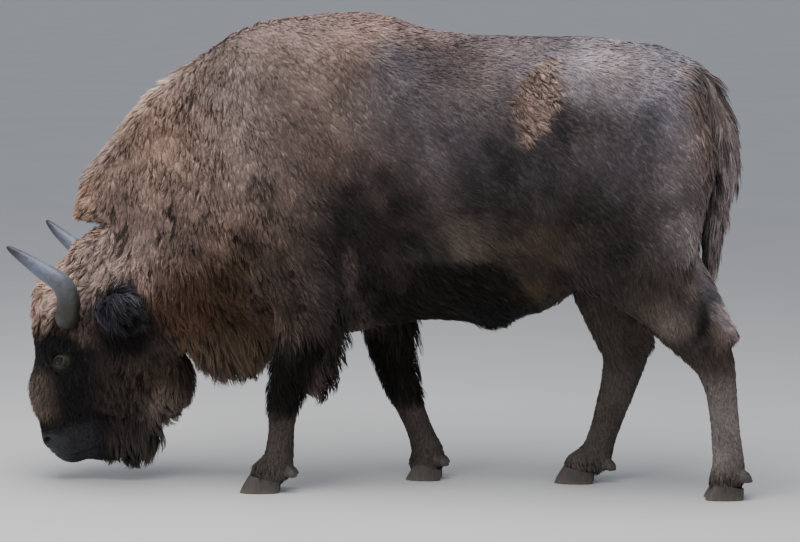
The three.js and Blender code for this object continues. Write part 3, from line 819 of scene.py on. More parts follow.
def shape_face(points, normals):
    head = (to_head(points)[:, 2] < 620) & (head_side(points) > 0)
    side = np.where(to_head(points)[:, 1] > 0, 1.0, -1.0)
    h = straight_side(points)
    n = normals @ HEAD_AXES
    n[:, 1] *= -side
    shaped = form_lids(form_muzzle(h, n))
    shaped[:, 1] *= -side
    return np.where(head[:, None], from_head(shaped), points)


def near_eye(points):
    return np.linalg.norm(straight_side(points) - EYE_AT, axis=1) < 62


def on_muzzle(points):
    h = to_head(points)
    return (h[:, 2] < 240) & (h[:, 0] < -1035) & (head_side(points) > 0) & (h[:, 2] > 20)


def make_skin():
    """The animal's one skin, in millimetres until the end, with its points and edges."""
    field = on_grid(skin_shape).finer()
    points, quads = net_of(field)
    mesh = new_mesh("skin", points, quads.ravel(), np.arange(len(quads)) * 4)
    for _ in range(2):
        subdivided(mesh, lambda p: near_eye(p) | on_muzzle(p))
    points, loops, starts = mesh_arrays(mesh)
    edges = edges_of(loops, starts)
    for _ in range(2):
        points = onto(field, spread(points, edges, 2))
    points = spread(points, edges, 2)
    move_points(mesh, points)
    points = shape_face(points, vertex_normals(mesh))
    move_points(mesh, points)
    return mesh, points, edges


# ---------------------------------------------------------------- regions of the coat

# Length and width of a tuft, its lift from the skin in degrees, how far it gathers in a lock,
# how much it curls, how many tufts lie over each other, how far they may stand past the
# outline of the solids, the colour, and the way the hair lies before it is laid along the skin.
LOOKS = {
    "barrel": (24, 3.0, 13, 0.15, 0.06, 1.00, 2, (86, 78, 79), (0.80, 0, -0.60)),
    # low barrel: darker than the barrel, painted shade of the underside
    "shaded low barrel": (26, 3.0, 14, 0.20, 0.08, 1.00, 2, (56, 49, 45), (0.70, 0, -0.70)),
    "back": (22, 2.6, 9, 0.08, 0.06, 1.30, 2, (104, 95, 99), (1.00, 0, -0.25)),
    "rump": (24, 3.0, 12, 0.15, 0.06, 1.00, 2, (134, 124, 127), (0.75, 0, -0.65)),
    "rear": (38, 2.8, 16, 0.30, 0.08, 1.80, 8, (146, 131, 126), (0.10, 0, -1.0)),
    "flank": (34, 3.2, 18, 0.35, 0.12, 1.40, 3, (62, 54, 50), (0.35, 0, -0.95)),
    # belly: painted shade, the colour darkened as the shadow under the body
    "belly": (34, 3.2, 20, 0.40, 0.15, 1.60, 4, (24, 20, 17), (0.60, 0, -0.80)),
    "patch": (26, 2.4, 36, 0.45, 0.42, 2.80, 6, (146, 122, 111), (0.60, 0, -0.80)),
    "shoulder": (24, 2.3, 20, 0.27, 0.12, 2.20, 3, (124, 107, 100), (0.50, 0, -0.85)),
    "low shoulder": (28, 2.6, 22, 0.28, 0.12, 2.10, 3, (76, 67, 63), (0.50, 0, -0.85)),
    "neck": (26, 2.1, 26, 0.32, 0.14, 2.80, 5, (142, 119, 108), (0.08, 0, -1.0)),
    "low neck": (40, 2.5, 30, 0.45, 0.18, 2.70, 6, (80, 60, 46), (0.42, 0, -0.90)),
    "hump": (24, 2.2, 15, 0.05, 0.14, 3.20, 5, (134, 113, 108), (0.55, 0, -0.55)),
    "crest": (58, 2.0, 36, 0.16, 0.16, 4.00, 20, (208, 180, 166), (-0.72, 0, -0.70)),
    "thigh": (26, 3.0, 14, 0.20, 0.08, 1.00, 2, (66, 57, 52), (0.30, 0, -0.95)),
    "hind shank": (12, 2.6, 12, 0.20, 0.05, 0.60, 2, (116, 106, 101), (0.10, 0, -1.0)),
    # far hind shank: the same hair as the near one, darker as painted shade of the far side
    "shaded far hind shank": (12, 2.6, 12, 0.20, 0.05, 0.60, 2, (70, 64, 59), (0.10, 0, -1.0)),
    # sleeve: partly the dark hair of the upper foreleg, partly painted shade under the chest
    "sleeve": (50, 3.0, 24, 0.50, 0.16, 2.10, 8, (24, 20, 17), (0.22, 0, -1.0)),
    "fore shank": (12, 2.6, 12, 0.20, 0.05, 0.60, 2, (66, 56, 50), (0.10, 0, -1.0)),
    "coronet": (22, 2.8, 14, 0.30, 0.05, 2.20, 8, (92, 84, 78), (0.0, 0, -1.0)),
    "elbow": (84, 3.0, 30, 0.60, 0.14, 3.20, 34, (34, 28, 24), (0.26, 0, -1.0)),
    "face": (17, 2.3, 20, 0.25, 0.12, 1.40, 3, (19, 16, 16), (0.05, 0, -1.0)),
    "cheek": (30, 2.6, 28, 0.52, 0.30, 2.40, 8, (64, 56, 51), (0.30, 0, -0.95)),
    # under ear: painted shade, the shadow below the ear
    "under ear": (30, 2.6, 24, 0.35, 0.20, 2.00, 4, (24, 20, 20), (0.35, 0, -0.90)),
    "forehead": (34, 2.3, 44, 0.45, 0.35, 3.40, 12, (92, 75, 67), (-0.30, 0, -0.95)),
    "poll": (34, 2.3, 44, 0.50, 0.42, 3.90, 12, (202, 170, 153), (-0.35, 0, -0.60)),
    "nose bridge": (30, 2.2, 44, 0.20, 0.22, 3.40, 12, (114, 97, 88), (-0.45, 0, -0.90)),
    "brow": (18, 2.2, 22, 0.30, 0.10, 1.80, 4, (22, 19, 19), (-0.20, 0, -1.0)),
    "muzzle": (7, 1.8, 14, 0.0, 0.0, 0.50, 1, (28, 28, 33), (0.10, 0, -1.0)),
    "bare": (4, 1.2, 12, 0.0, 0.0, 0.06, 1, (30, 31, 38), (0.10, 0, -1.0)),
    "throat": (60, 2.7, 28, 0.50, 0.20, 3.40, 14, (62, 50, 41), (0.30, 0, -0.95)),
    "jaw": (34, 2.6, 36, 0.52, 0.42, 2.80, 12, (102, 90, 82), (0.35, 0, -0.90)),
    "beard": (88, 2.4, 24, 0.66, 0.18, 4.20, 34, (86, 77, 70), (0.06, 0, -1.0)),
    "mane": (112, 3.0, 20, 0.60, 0.16, 4.20, 90, (116, 99, 84), (0.04, 0, -1.0)),
    "ear": (76, 2.3, 50, 0.42, 0.40, 5.20, 46, (62, 61, 68), (0.75, 0, -0.45)),
    "tail": (84, 2.8, 15, 0.35, 0.12, 4.40, 18, (170, 154, 150), (0.02, 0, -1.0)),
    # tail inside: painted shade where the tail lies against the rump
    "shaded tail inside": (80, 3.0, 16, 0.45, 0.10, 3.40, 16, (46, 41, 43), (0.02, 0, -1.0)),
    "lids": (4, 1.4, 14, 0.0, 0.0, 0.10, 1, (46, 41, 33), (0.40, 0, -0.90)),
    "eye rim": (4, 1.2, 14, 0.0, 0.0, 0.03, 1, (66, 63, 51), (0.40, 0, -0.90)),
}
# Lighter and darker places on both sides, some the hair's own colour and some painted light and shade:
# middle and half size in x and z, and the colour's factor.
MARKS = {
    # painted sheen: a bluish light on the upper ribs
    "sheen on the ribs": ((190, 1290), (120, 170), (1.3, 1.3, 1.35)),
    # painted shade under and behind the shoulder
    "shade behind the shoulder": ((-50, 950), (200, 290), (0.33, 0.33, 0.36)),
    # painted light on the fold behind the elbow
    "lit fold behind the elbow": ((-118, 810), (24, 90), (4.2, 4.0, 3.7)),
    "dark upper arm": ((-380, 760), (105, 190), 0.42),
    "dark forearm": ((-320, 640), (130, 80), 0.5),
    "dark elbow": ((-205, 395), (65, 95), 0.45),
    "dark brisket": ((-10, 710), (90, 110), 0.40),
    "dark ribs": ((370, 1070), (150, 180), 0.55),
    "light flank": ((315, 940), (115, 95), (2.9, 2.8, 2.7)),
    # painted light on the front of the flank fold
    "light fold": ((590, 905), (130, 90), (1.75, 1.65, 1.55)),
    "olive belly": ((520, 730), (120, 60), (1.9, 1.7, 1.1)),
    "dark loin": ((520, 1250), (170, 200), 0.50),
    "dark hip": ((640, 1350), (150, 80), 0.60),
    # painted shade in the hollow between the belly and the thigh
    "shade in the flank hollow": ((775, 970), (120, 170), 0.36),
    "shade in front of the thigh": ((820, 790), (80, 110), 0.6),
    "dark withers": ((200, 1545), (260, 95), 0.48),
    "upper rump spot": ((1040, 1510), (52, 28), (1.35, 1.18, 1.05)),
    "lower rump spot": ((1080, 1415), (40, 30), (1.35, 1.15, 1.02)),
    "back of the thigh": ((1040, 930), (80, 200), 1.9),
    "top of the tendon": ((1115, 770), (45, 80), (1.8, 1.75, 1.7)),
    "tendon": ((1200, 645), (50, 95), (3.2, 3.1, 3.0)),
    "gaskin": ((1030, 670), (100, 110), (2.8, 2.7, 2.6)),
    # painted shade in the groove in front of the hock tendon
    "shade in the hock hollow": ((1130, 620), (26, 70), 0.35),
    # painted shade in the crease behind the poll
    "shade in the fold behind the poll": ((-985, 858), (46, 18), 0.5),
    "loin": ((530, 1505), (95, 60), (1.5, 1.5, 1.6)),
    "side of the neck": ((-490, 1400), (120, 120), 1.35),
    "below the crest": ((-730, 1200), (130, 70), 1.4),
    "behind the poll": ((-810, 1100), (80, 60), 1.25),
    "behind the ear": ((-690, 950), (120, 100), 0.58),
    "front of the shoulder": ((-430, 1090), (90, 60), 0.65),
    "low on the neck": ((-460, 930), (80, 70), 0.45),
    "ear tips": ((-900, 745), (85, 45), (2.3, 2.35, 2.55)),
    "round the horn": ((-1115, 672), (75, 36), (1.5, 1.5, 1.55)),
    "temple": ((-1010, 700), (42, 60), 1.4),
    # painted shade below the ear
    "below the ear": ((-865, 625), (130, 80), 0.42),
}
# Smooth random fields: where borders wander, and how colour, length and lie vary.
WANDER, WANDER_BY = Waves(SEED + 1, 260), 40
RAGGED, RAGGED_FINE = Waves(SEED + 2, 70), Waves(SEED + 3, 25)
MOTTLE, MOTTLE_FINE = Waves(SEED + 4, 150), Waves(SEED + 5, 55)
WARMTH, LENGTHS = Waves(SEED + 6, 210), Waves(SEED + 7, 90)
MARK_BORDERS, CRACK_PLACES = Waves(SEED + 8, 60), Waves(SEED + 9, 60)
SWIRL = [Waves(SEED + 10 + k, 190) for k in range(3)]


def regions(p, normals):
    """Each region's share at the skin's points. Later ones lie over earlier ones."""
    x, y, z = p.T
    h = to_head(p)
    hx, hz = h[:, 0], h[:, 2]
    wander = WANDER(p) * WANDER_BY
    fore, hind = nearest("foreleg", p), nearest("hindleg", p)
    headed = step(-40, 40, head_side(p) + 0.5 * wander) * (fore > 20)
    body = 1 - headed
    fore_leg = step(30, 0, fore) * step(650, 490, z + wander)
    hind_leg = step(30, 0, hind) * step(900, 760, z + wander)
    shares = {"barrel": np.ones(len(p))}
    # the low barrel's darker colour is painted shade of the underside
    shares["shaded low barrel"] = step(1230, 960, z + wander) * step(-250, -100, x) * step(1000, 850, x)
    shares["back"] = step(1390, 1580, z + wander) * body
    high_rump = np.maximum(step(1330, 1450, z + 0.5 * wander), step(920, 1010, x) * step(1000, 1200, z))
    shares["rump"] = step(500, 700, x + wander) * high_rump
    shares["rear"] = step(0.25, 0.8, normals[:, 0]) * step(1000, 1080, x) * step(500, 650, z)
    shares["flank"] = step(520, 640, x) * step(930, 820, x) * step(900, 760, z + wander) * step(560, 640, z)
    # the belly's dark colour is painted shade under the body
    belly_top = 845 + 0.3 * wander - 230 * step(380, 620, x)
    shares["belly"] = step(25, -25, z - belly_top) * step(-260, -60, x) * step(900, 700, x)
    patch_at = np.stack(((x - 545) / 112, (z - 1425) / 168), 1)
    ragged = RAGGED(p) * 0.22 + RAGGED_FINE(p) * 0.12
    lean = patch_at[:, 0] - patch_at[:, 1] * 0.45
    shares["patch"] = 0.85 * step(1.05, 0.7, np.hypot(lean * 1.3, patch_at[:, 1]) + ragged) * (y < 0)
    shares["shoulder"] = step(120, -200, x + wander) * body * step(480, 620, z)
    shares["low shoulder"] = shares["shoulder"] * step(1230, 900, z + wander)
    shares["neck"] = step(-230, -600, x + 0.35 * (z - 1000) + wander) * body
    shares["low neck"] = step(1400, 1130, z - 0.65 * x + wander) * step(-390, -520, x) * body
    shares["hump"] = step(0.55, 0.9, normals[:, 2]) * step(330, 60, x) * step(1350, 1560, z)
    facing = -normals[:, 0] * 0.9 + normals[:, 2] * 0.5
    shares["crest"] = step(0.62, 0.95, facing) * step(-560, -800, x) * step(850, 950, z) * body
    shares["thigh"] = hind_leg * step(400, 480, z)
    shares["hind shank"] = step(20, 0, hind) * step(520, 380, z) * (y < 0)
    # the far hind shank is darker as painted shade of the far side
    shares["shaded far hind shank"] = step(20, 0, hind) * step(520, 380, z) * (y > 0)
    # the sleeve's dark colour is partly its hair and partly painted shade under the chest
    shares["sleeve"] = fore_leg
    shares["coronet"] = step(20, 0, np.minimum(fore, hind)) * step(118, 84, z)
    shares["fore shank"] = step(20, 0, fore) * step(330, 270, z + 0.3 * wander) * (z > 100)
    elbow = np.maximum(hair_mass("left elbow", p, 45), hair_mass("right elbow", p, 45))
    fringe = step(24, 6, fore) * step(330, 380, z) * step(640, 560, z)
    shares["elbow"] = np.maximum(elbow, fringe) * step(0.1, 0.5, normals[:, 0] + 0.2 * np.abs(normals[:, 1]))
    shares["face"] = headed
    shares["cheek"] = headed * step(-1090, -930, hx + 0.6 * wander) * step(200, 300, hz)
    # the region under the ear is painted shade below it
    below_ear = np.hypot((hx + 930) / 110, (hz - 560) / 80)
    shares["under ear"] = headed * step(1.1, 0.6, below_ear) * step(40, 90, np.abs(h[:, 1]))
    fuzz = step(-1165, -1290, hx + 0.5 * wander) * step(205, 280, hz) * step(470, 380, hz)
    shares["nose bridge"] = headed * fuzz
    shares["forehead"] = headed * step(520, 570, hz + 0.5 * wander) * step(-1010, -1080, hx)
    poll_front = step(640, 720, hz - 0.6 * (hx + 1100))
    shares["poll"] = step(-130, -10, head_side(p)) * poll_front * step(560, 640, hz)
    eye = np.hypot(hx - EYE_AT[0], hz - EYE_AT[2])
    shares["brow"] = headed * step(105, 60, np.hypot(hx - EYE_AT[0], (hz - EYE_AT[2] - 25) * 0.9))
    shares["brow"] = shares["brow"] * step(60, 90, np.abs(h[:, 1]))
    shares["throat"] = hair_mass("throat", p, 50) * step(520, 420, hz) * step(-960, -900, hx) * headed
    shares["jaw"] = headed * step(110, 60, np.hypot(hx + 800, (hz - 290) * 0.8))
    beard_front = step(-1060, -1000, hx)
    shares["beard"] = hair_mass("beard", p, 60) * headed * step(370, 180, hz + wander) * beard_front
    shares["mane"] = hair_mass("mane", p, 120) * step(640, 540, z) * (fore > -6) * body
    muzzle_top = 208 + 0.25 * (hx + 1180)
    shares["muzzle"] = headed * step(30, -20, hz - muzzle_top) * step(-1020, -1090, hx)
    above_bare = hz - muzzle_top + 24 + 0.35 * (hx + 1200)
    shares["bare"] = headed * step(14, -14, above_bare) * step(-1130, -1190, hx)
    shares["ear"] = step(12, -4, nearest("ear", p))
    tail = step(30, 0, PARTS["tail"](p)) * step(1090, 1130, x)
    shares["tail"] = tail
    # the tail's side that faces the rump is darker as painted shade
    shares["shaded tail inside"] = tail * step(-0.1, -0.6, normals[:, 0])
    s, t, _ = eye_places(straight_side(p))
    opening = eye_oval(s, t) + (eye > 60) * 9
    shares["lids"] = headed * step(2.7, 1.3, opening)
    shares["eye rim"] = headed * step(1.5, 1.2, opening)
    return shares


def laid(values, shares):
    """Lays each region's values over those before it."""
    first = next(iter(shares))
    out = np.tile(np.array(values[first], float), (len(shares[first]), 1))
    for name, share in shares.items():
        out = toward(out, np.array(values[name], float), share[:, None])
    return out


def coat_data(p, normals, edges):
    """Everything that the tufts need, at each point of the skin."""
    shares = {name: np.clip(share, 0, 1) for name, share in regions(p, normals).items()}
    form = laid({name: look[:7] for name, look in LOOKS.items()}, shares)
    colour = laid({name: linear(*look[7]) for name, look in LOOKS.items()}, shares)
    lie = laid({name: look[8] for name, look in LOOKS.items()}, shares)
    for name, outward in (("ear", 0.55), ("hump", 0.25)):
        lie[:, 1] += shares[name] * outward * np.sign(p[:, 1])
    lie = unit(lie + 0.22 * np.stack([wave(p) for wave in SWIRL], 1))
    mottle = 1 + 0.17 * MOTTLE(p) + 0.11 * MOTTLE_FINE(p)
    warm = 0.05 * WARMTH(p)
    colour = colour * mottle[:, None] * (1 + warm[:, None] * (1, 0, -1))
    ragged = MARK_BORDERS(p) * 0.25
    # the marks: the hair's own lighter and darker places, and painted light and shade
    for (x, z), (wide, high), change in MARKS.values():
        share = step(1.25, 0.35, np.hypot((p[:, 0] - x) / wide, (p[:, 2] - z) / high) + ragged)
        colour = colour * (1 + (np.array(change) - 1) * (share * (shares["patch"] < 0.2))[:, None])
    data = spread(np.concatenate((form, colour, lie), 1), edges, 4)
    form, colour, lie = data[:, :7], data[:, 7:10], data[:, 10:13]
    form[:, 0] *= 1 + 0.10 * LENGTHS(p)
    return form, np.maximum(colour, 0.002), lie, shares


# ---------------------------------------------------------------- tufts

TUFTS_TOTAL = 262000
LONG = 58.0  # tufts longer than this have more rows of points
SHORT_ROWS, LONG_ROWS = 4, 6
BARE_EYE = 1.04  # no tuft grows inside the lids' opening
OVERLAP = 0.6  # how much of a tuft's length and width counts as cover
LOCK_STRETCH = 0.86  # how much longer than wide the locks are: 0 is round
# the next three set the painted shade in the cracks between locks
CRACK_EDGES = (0.17, 0.05)  # where the dark borders between locks begin and are full
CRACK_SHADE = 0.84
CRACKED = (0.2, 0.32)  # hair that gathers this much has dark borders
LENGTH_VARIES = 0.16  # from lock to lock, and again from tuft to tuft
WIDTH_VARIES = 0.22
LIFT_VARIES = (0.22, 0.14)  # from lock to lock and from tuft to tuft
LIFTS = (4, 82)  # degrees, least and most
DROOP = 0.8  # of a long tuft's end
MOST_PULL = 0.55  # of a tuft's length, towards its lock's tip
SWING = 0.22  # of a tuft's length, from side to side where it curls
ROLL = 0.55  # how far a tuft turns about its own length
TAPER = ((0, 0.35, 0.7, 1), (0.65, 1.0, 0.72, 0))  # width along a tuft
PUFF = 14  # from the middle of a lock to where it is shaded as round
TONES = (0.55, 1.6)  # darkest and lightest change of a tuft's colour
# painted shade deep in the coat: tufts darker towards the root; curly ones darker at the root and lighter
# towards the tip
ROOT_SHADE = ((0, 0.35, 0.75, 1), (0.5, 0.25, 0.0, -0.10))  # how much darker along a tuft
CURL_LIGHT = ((0, 0.5, 1), (-0.6, 0.0, 0.9))  # how much lighter along a tuft that curls


def sample_roots(mesh, points, form, rng):
    """Places on the skin for the roots: triangles, weights of their corners, and how dense they are."""
    mesh.calc_loop_triangles()
    corners = np.empty(len(mesh.loop_triangles) * 3, np.int64)
    mesh.loop_triangles.foreach_get("vertices", corners)
    corners = corners.reshape(-1, 3)
    a, b, c = (points[corners[:, i]] for i in range(3))
    area = np.linalg.norm(np.cross(b - a, c - a), axis=1) / 2
    length, width, cover = (form[corners, k].mean(1) for k in (0, 1, 5))
    wanted = area * cover / (OVERLAP * length * width)
    middle = (a + b + c) / 3
    s, t, out = eye_places(straight_side(middle))
    in_eye = (eye_oval(s, t) < BARE_EYE) & (out > -30)
    wanted[in_eye & (to_head(middle)[:, 2] < 560) & (head_side(middle) > 0)] = 0
    wanted[middle[:, 2] < SOLE_DEPTH + 14] = 0
    total = np.cumsum(wanted)
    count = TUFTS_TOTAL
    print(f"tufts wanted {total[-1]:.0f}, made {count}")
    spots = (np.arange(count) + rng.uniform(0, 1, count)) * (total[-1] / count)
    face = np.minimum(np.searchsorted(total, spots), len(corners) - 1)
    u, v = rng.uniform(0, 1, (2, count))
    fold = u + v > 1
    u, v = np.where(fold, 1 - u, u), np.where(fold, 1 - v, v)
    density = form[:, 5] / (OVERLAP * form[:, 0] * form[:, 1]) * (count / total[-1])
    return corners[face], np.stack((1 - u - v, u, v), 1), density


def find_locks(roots, lie, form, density, rng):
    """Gathers the roots in locks: the root in the middle of each one's lock, and how near the border."""
    size = 10 + 0.25 * form[:, 0] + 7 * step(0.2, 0.36, form[:, 3]) * step(60, 30, form[:, 0])
    middles = np.nonzero(rng.uniform(0, 1, len(roots)) * density * size**2 < 1)[0]
    tree = kdtree.KDTree(len(middles))
    for k, place in enumerate(roots[middles].tolist()):
        tree.insert(place, k)
    tree.balance()
    found = middles[[[hit[1] for hit in tree.find_n(place, 4)] for place in roots.tolist()]]
    offset = roots[:, None] - roots[found]
    along = dot(offset, lie[:, None])
    score = np.sqrt(np.maximum(dot(offset, offset) - LOCK_STRETCH * along**2, 0))
    order = np.argsort(score, axis=1)
    rows = np.arange(len(roots))
    first, second = score[rows, order[:, 0]], score[rows, order[:, 1]]
    border = step(*CRACK_EDGES, (second - first) / np.maximum(second + first, 1e-6))
    border *= step(-0.9, 0.4, CRACK_PLACES(roots))
    return found[rows, order[:, 0]], border


class Coat:
    """Every tuft's root, shape and colour, worked out all at once."""

    def __init__(self, mesh, points, normals, data, outline):
        rng = np.random.default_rng(SEED)
        form, colour, lie, _ = data
        corners, weights, density = sample_roots(mesh, points, form, rng)
        at = lambda values: np.einsum("nk,nkd->nd", weights, values[corners])
        self.root = at(points)
        self.normal = unit(at(normals))
        flow = at(lie)
        self.flow = unit(flow - self.normal * dot(flow, self.normal)[:, None])
        self.form = at(form)
        self.colour = at(colour)
        self.outline = outline
        self.lock, self.border = find_locks(self.root, self.flow, self.form, at(density[:, None])[:, 0], rng)
        self.chance = rng.uniform(0, 1, (len(self.root), 8))
        self.bell = rng.normal(0, 1, (len(self.root), 6))
        self.shape_all()

    def shape_all(self):
        """Each tuft's size and the way that it sets out and ends."""
        lock, chance, bell = self.lock, self.chance, self.bell
        length, width, lift, self.gather, self.curl, _, self.free = self.form.T
        locks_length = 1 + LENGTH_VARIES * bell[lock, 0]
        self.length = length * np.clip(locks_length * (1 + LENGTH_VARIES * bell[:, 1]), 0.45, 1.6)
        self.width = width * np.clip(1 + WIDTH_VARIES * bell[:, 2], 0.5, 1.7)
        by_lock, by_tuft = LIFT_VARIES
        lift = lift * (1 + by_lock * bell[lock, 3] + by_tuft * bell[:, 4])
        angle = np.radians(np.clip(lift, *LIFTS))
        side = np.cross(self.normal, self.flow)
        sway = 0.16 + 0.9 * self.curl
        flow = unit(self.flow + side * (bell[lock, 1] * sway * 0.7 + bell[:, 5] * sway * 0.4)[:, None])
        leaning = lambda a: flow * np.cos(a)[:, None] + self.normal * np.sin(a)[:, None]
        self.start = leaning(angle)
        hang = step(45, 110, length)
        self.end = unit(leaning(angle * (0.25 + 0.3 * chance[:, 0])) + hang[:, None] * (0, 0, -DROOP))
        self.side = np.cross(self.normal, flow)
        self.tip = self.root + self.length[:, None] * (self.start + self.end) / 2

    def paths(self, index, rows):
        """The middle line of the chosen tufts, as (tuft, row, axis)."""
        s = np.linspace(0, 1, rows)[None, :, None]
        length = self.length[index][:, None, None]
        start, end = self.start[index][:, None], self.end[index][:, None]
        path = self.root[index][:, None] + length * (start * s + (end - start) * s * s / 2)
        lock = self.lock[index]
        phase = self.chance[lock, 3][:, None, None] * math.tau + self.chance[index, 4][:, None, None]
        swing = self.curl[index][:, None, None] * length * SWING * s
        turns = 5.5 + 2.5 * self.chance[lock, 5][:, None, None]
        path += swing * np.sin(turns * s + phase) * self.side[index][:, None]
        path += swing * np.cos(turns * s + phase) * self.normal[index][:, None] * 0.6
        pull = self.tip[lock] - self.tip[index]
        most = MOST_PULL * self.length[index]
        pull *= np.minimum(1, most / np.maximum(np.linalg.norm(pull, axis=1), 1e-6))[:, None]
        share = self.gather[index] * (0.7 + 0.5 * self.chance[index, 6])
        path += (pull * share[:, None])[:, None] * s**1.5
        return self.held_in(path, index, rows)

    def held_in(self, path, index, rows):
        """Keeps the hair inside the outline of the coat, but for a few stray tips."""
        free = self.free[index] * (0.25 + 0.75 * self.chance[self.lock[index], 7])
        free += 5.0 * self.chance[index, 7] ** 4
        stray = 1.0 + free[:, None] * np.linspace(0, 1, rows)
        for _ in range(3):
            flat = path[:, 1:].reshape(-1, 3)
            over = self.outline(flat) - stray[:, 1:].ravel()
            out = np.nonzero(over > 0)[0]
            slope = self.outline.slope(flat[out])
            square = np.maximum(dot(slope, slope), 0.2)
            flat[out] -= slope * (over[out] / square)[:, None]
            path[:, 1:] = flat.reshape(path[:, 1:].shape)
        return path


def tuft_faces(rows):
    """One tuft's faces: quads up to the last row but one, and a triangle to the tip."""
    n = rows - 1
    loops = [i for k in range(n - 1) for i in (k, k + 1, k + n + 1, k + n)]
    return np.array(loops + [n - 1, 2 * n, 2 * n - 1]), 4 * np.arange(n)


def tuft_colours(coat, index, row):
    """The chosen tufts' colours, with painted shade: darker at the root and at the border of a lock."""
    curl = coat.curl[index]
    tone = 1 + (0.10 + 0.25 * curl) * coat.bell[index, 2] + 0.04 * coat.bell[coat.lock[index], 4]
    # painted shade at the root, deeper in long wool
    dark = np.interp(row, *ROOT_SHADE)
    woolly = step(24, 44, coat.form[index, 0])[:, None]
    # painted shade in the crack at a lock's border
    crack = CRACK_SHADE * step(*CRACKED, coat.gather[index]) * coat.border[index]
    depth_tone = (1 - dark * (0.12 + 0.5 * woolly)) * (1 - crack)[:, None]
    depth_tone = depth_tone * (1 + curl[:, None] * np.interp(row, *CURL_LIGHT))
    return coat.colour[index][:, None] * (np.clip(tone, *TONES)[:, None] * depth_tone)[:, :, None]


def tuft_block(coat, index, rows):
    """Points, normals, colours, places in the tuft and faces of the chosen tufts."""
    path = coat.paths(index, rows)
    count = len(index)
    both_edges = lambda values: np.concatenate((values[:, :-1], values[:, :-1], values[:, -1:]), 1)
    s = np.linspace(0, 1, rows)
    row = np.concatenate((s[:-1], s[:-1], s[-1:]))
    normal = coat.normal[index][:, None]
    ahead = np.gradient(path, axis=1)
    across = unit(np.cross(np.broadcast_to(normal, path.shape), ahead))
    outward = unit(np.cross(ahead, across))
    roll = (coat.bell[index, 3] * ROLL)[:, None, None]
    across = across * np.cos(roll) + outward * np.sin(roll)
    half = across * (coat.width[index][:, None, None] / 2 * np.interp(s, *TAPER)[None, :, None])
    points = both_edges(path)
    points[:, : rows - 1] -= half[:, :-1]
    points[:, rows - 1 : -1] += half[:, :-1]
    aside = points - coat.root[coat.lock[index]][:, None]
    aside -= normal * dot(aside, normal)[..., None]
    puff = np.clip(np.linalg.norm(aside, axis=2, keepdims=True) / PUFF, 0, 1)
    own = both_edges(outward)
    facing = np.sign(dot(own, normal))[..., None]
    shading = unit(normal + unit(aside) * puff * 0.5 + own * facing * 0.25)
    loops, starts = tuft_faces(rows)
    wide = np.concatenate((np.zeros(rows - 1), np.ones(rows - 1), (0.5,)))
    number = np.arange(count)[:, None]
    return {
        "points": points.reshape(-1, 3),
        "normals": shading.reshape(-1, 3),
        "colours": tuft_colours(coat, index, row).reshape(-1, 3),
        "patch": np.tile(np.stack((wide, row), 1)[loops], (count, 1)),
        "tuft": np.repeat(index, len(loops)),
        "loops": (number * (2 * rows - 1) + loops).ravel(),
        "starts": (number * len(loops) + starts).ravel(),
    }


PATCH = 0.003  # size of a tuft's place in OFBake


def coat_piece(name, coat, index, unwrap, material):
    """One piece of the coat, of short tufts and long ones."""
    long = coat.length[index] > LONG
    chosen = ((index[~long], SHORT_ROWS), (index[long], LONG_ROWS))
    blocks = [tuft_block(coat, tufts, rows) for tufts, rows in chosen if len(tufts)]
    first_point, first_loop = 0, 0
    for block in blocks:
        block["loops"] += first_point
        block["starts"] += first_loop
        first_point += len(block["points"])
        first_loop += len(block["loops"])
    joined = {key: np.concatenate([block[key] for block in blocks]) for key in blocks[0]}
    mesh = new_mesh(name, joined["points"] * MM, joined["loops"], joined["starts"])
    set_tone(mesh, joined["colours"])
    uv = mesh.uv_layers.new(name="OFBake")
    place = unwrap[joined["tuft"]] + (joined["patch"] - 0.5) * PATCH
    uv.uv.foreach_set("vector", place.astype(np.float32).ravel())
    mesh.normals_split_custom_set_from_vertices(joined["normals"].astype(np.float32))
    add_piece(name, mesh, material, "coat")


def part_of(points):
    """The name of the part that each point lies on."""
    names = list(PARTS)
    near = np.stack([PARTS[name](points) for name in names], 1)
    near[:, names.index("neck")] += 20
    near[:, names.index("trunk")] += 10
    return np.array(names)[near.argmin(1)]


ON_HEAD = {
    "head": Sweep(SKULL),
    "ear_left": Sweep(EAR, lateral=(1, 0, 0)),
    "ear_right": Sweep(mirrored(EAR), lateral=(1, 0, 0)),
}


def unwrapped(points, parts):
    """Each root's place along and round its part, with the parts side by side in the unit square."""
    names = sorted(set(parts))
    columns = math.ceil(math.sqrt(len(names)))
    out = np.zeros((len(points), 2))
    for k, name in enumerate(names):
        index = np.nonzero(parts == name)[0]
        if name in ON_HEAD:
            place = ON_HEAD[name].unwrap(to_head(points[index]))
        else:
            place = PARTS[name].unwrap(points[index])
        low, high = place.min(0), place.max(0)
        place = (place - low) / np.maximum(high - low, 1e-6)
        cell = np.array((k % columns, k // columns))
        out[index] = (cell + 0.02 + 0.96 * place) / columns
    return np.clip(out, PATCH, 1 - PATCH)


GROUPS = {
    "trunk": ("trunk",),
    "neck": ("neck",),
    "head": ("head",),
    "forelegs": ("foreleg_left", "foreleg_right"),
    "hindlegs": ("hindleg_left", "hindleg_right"),
    "ears_tail": ("ear_left", "ear_right", "tail"),
}
MOST_TRIANGLES = 180000  # in one piece


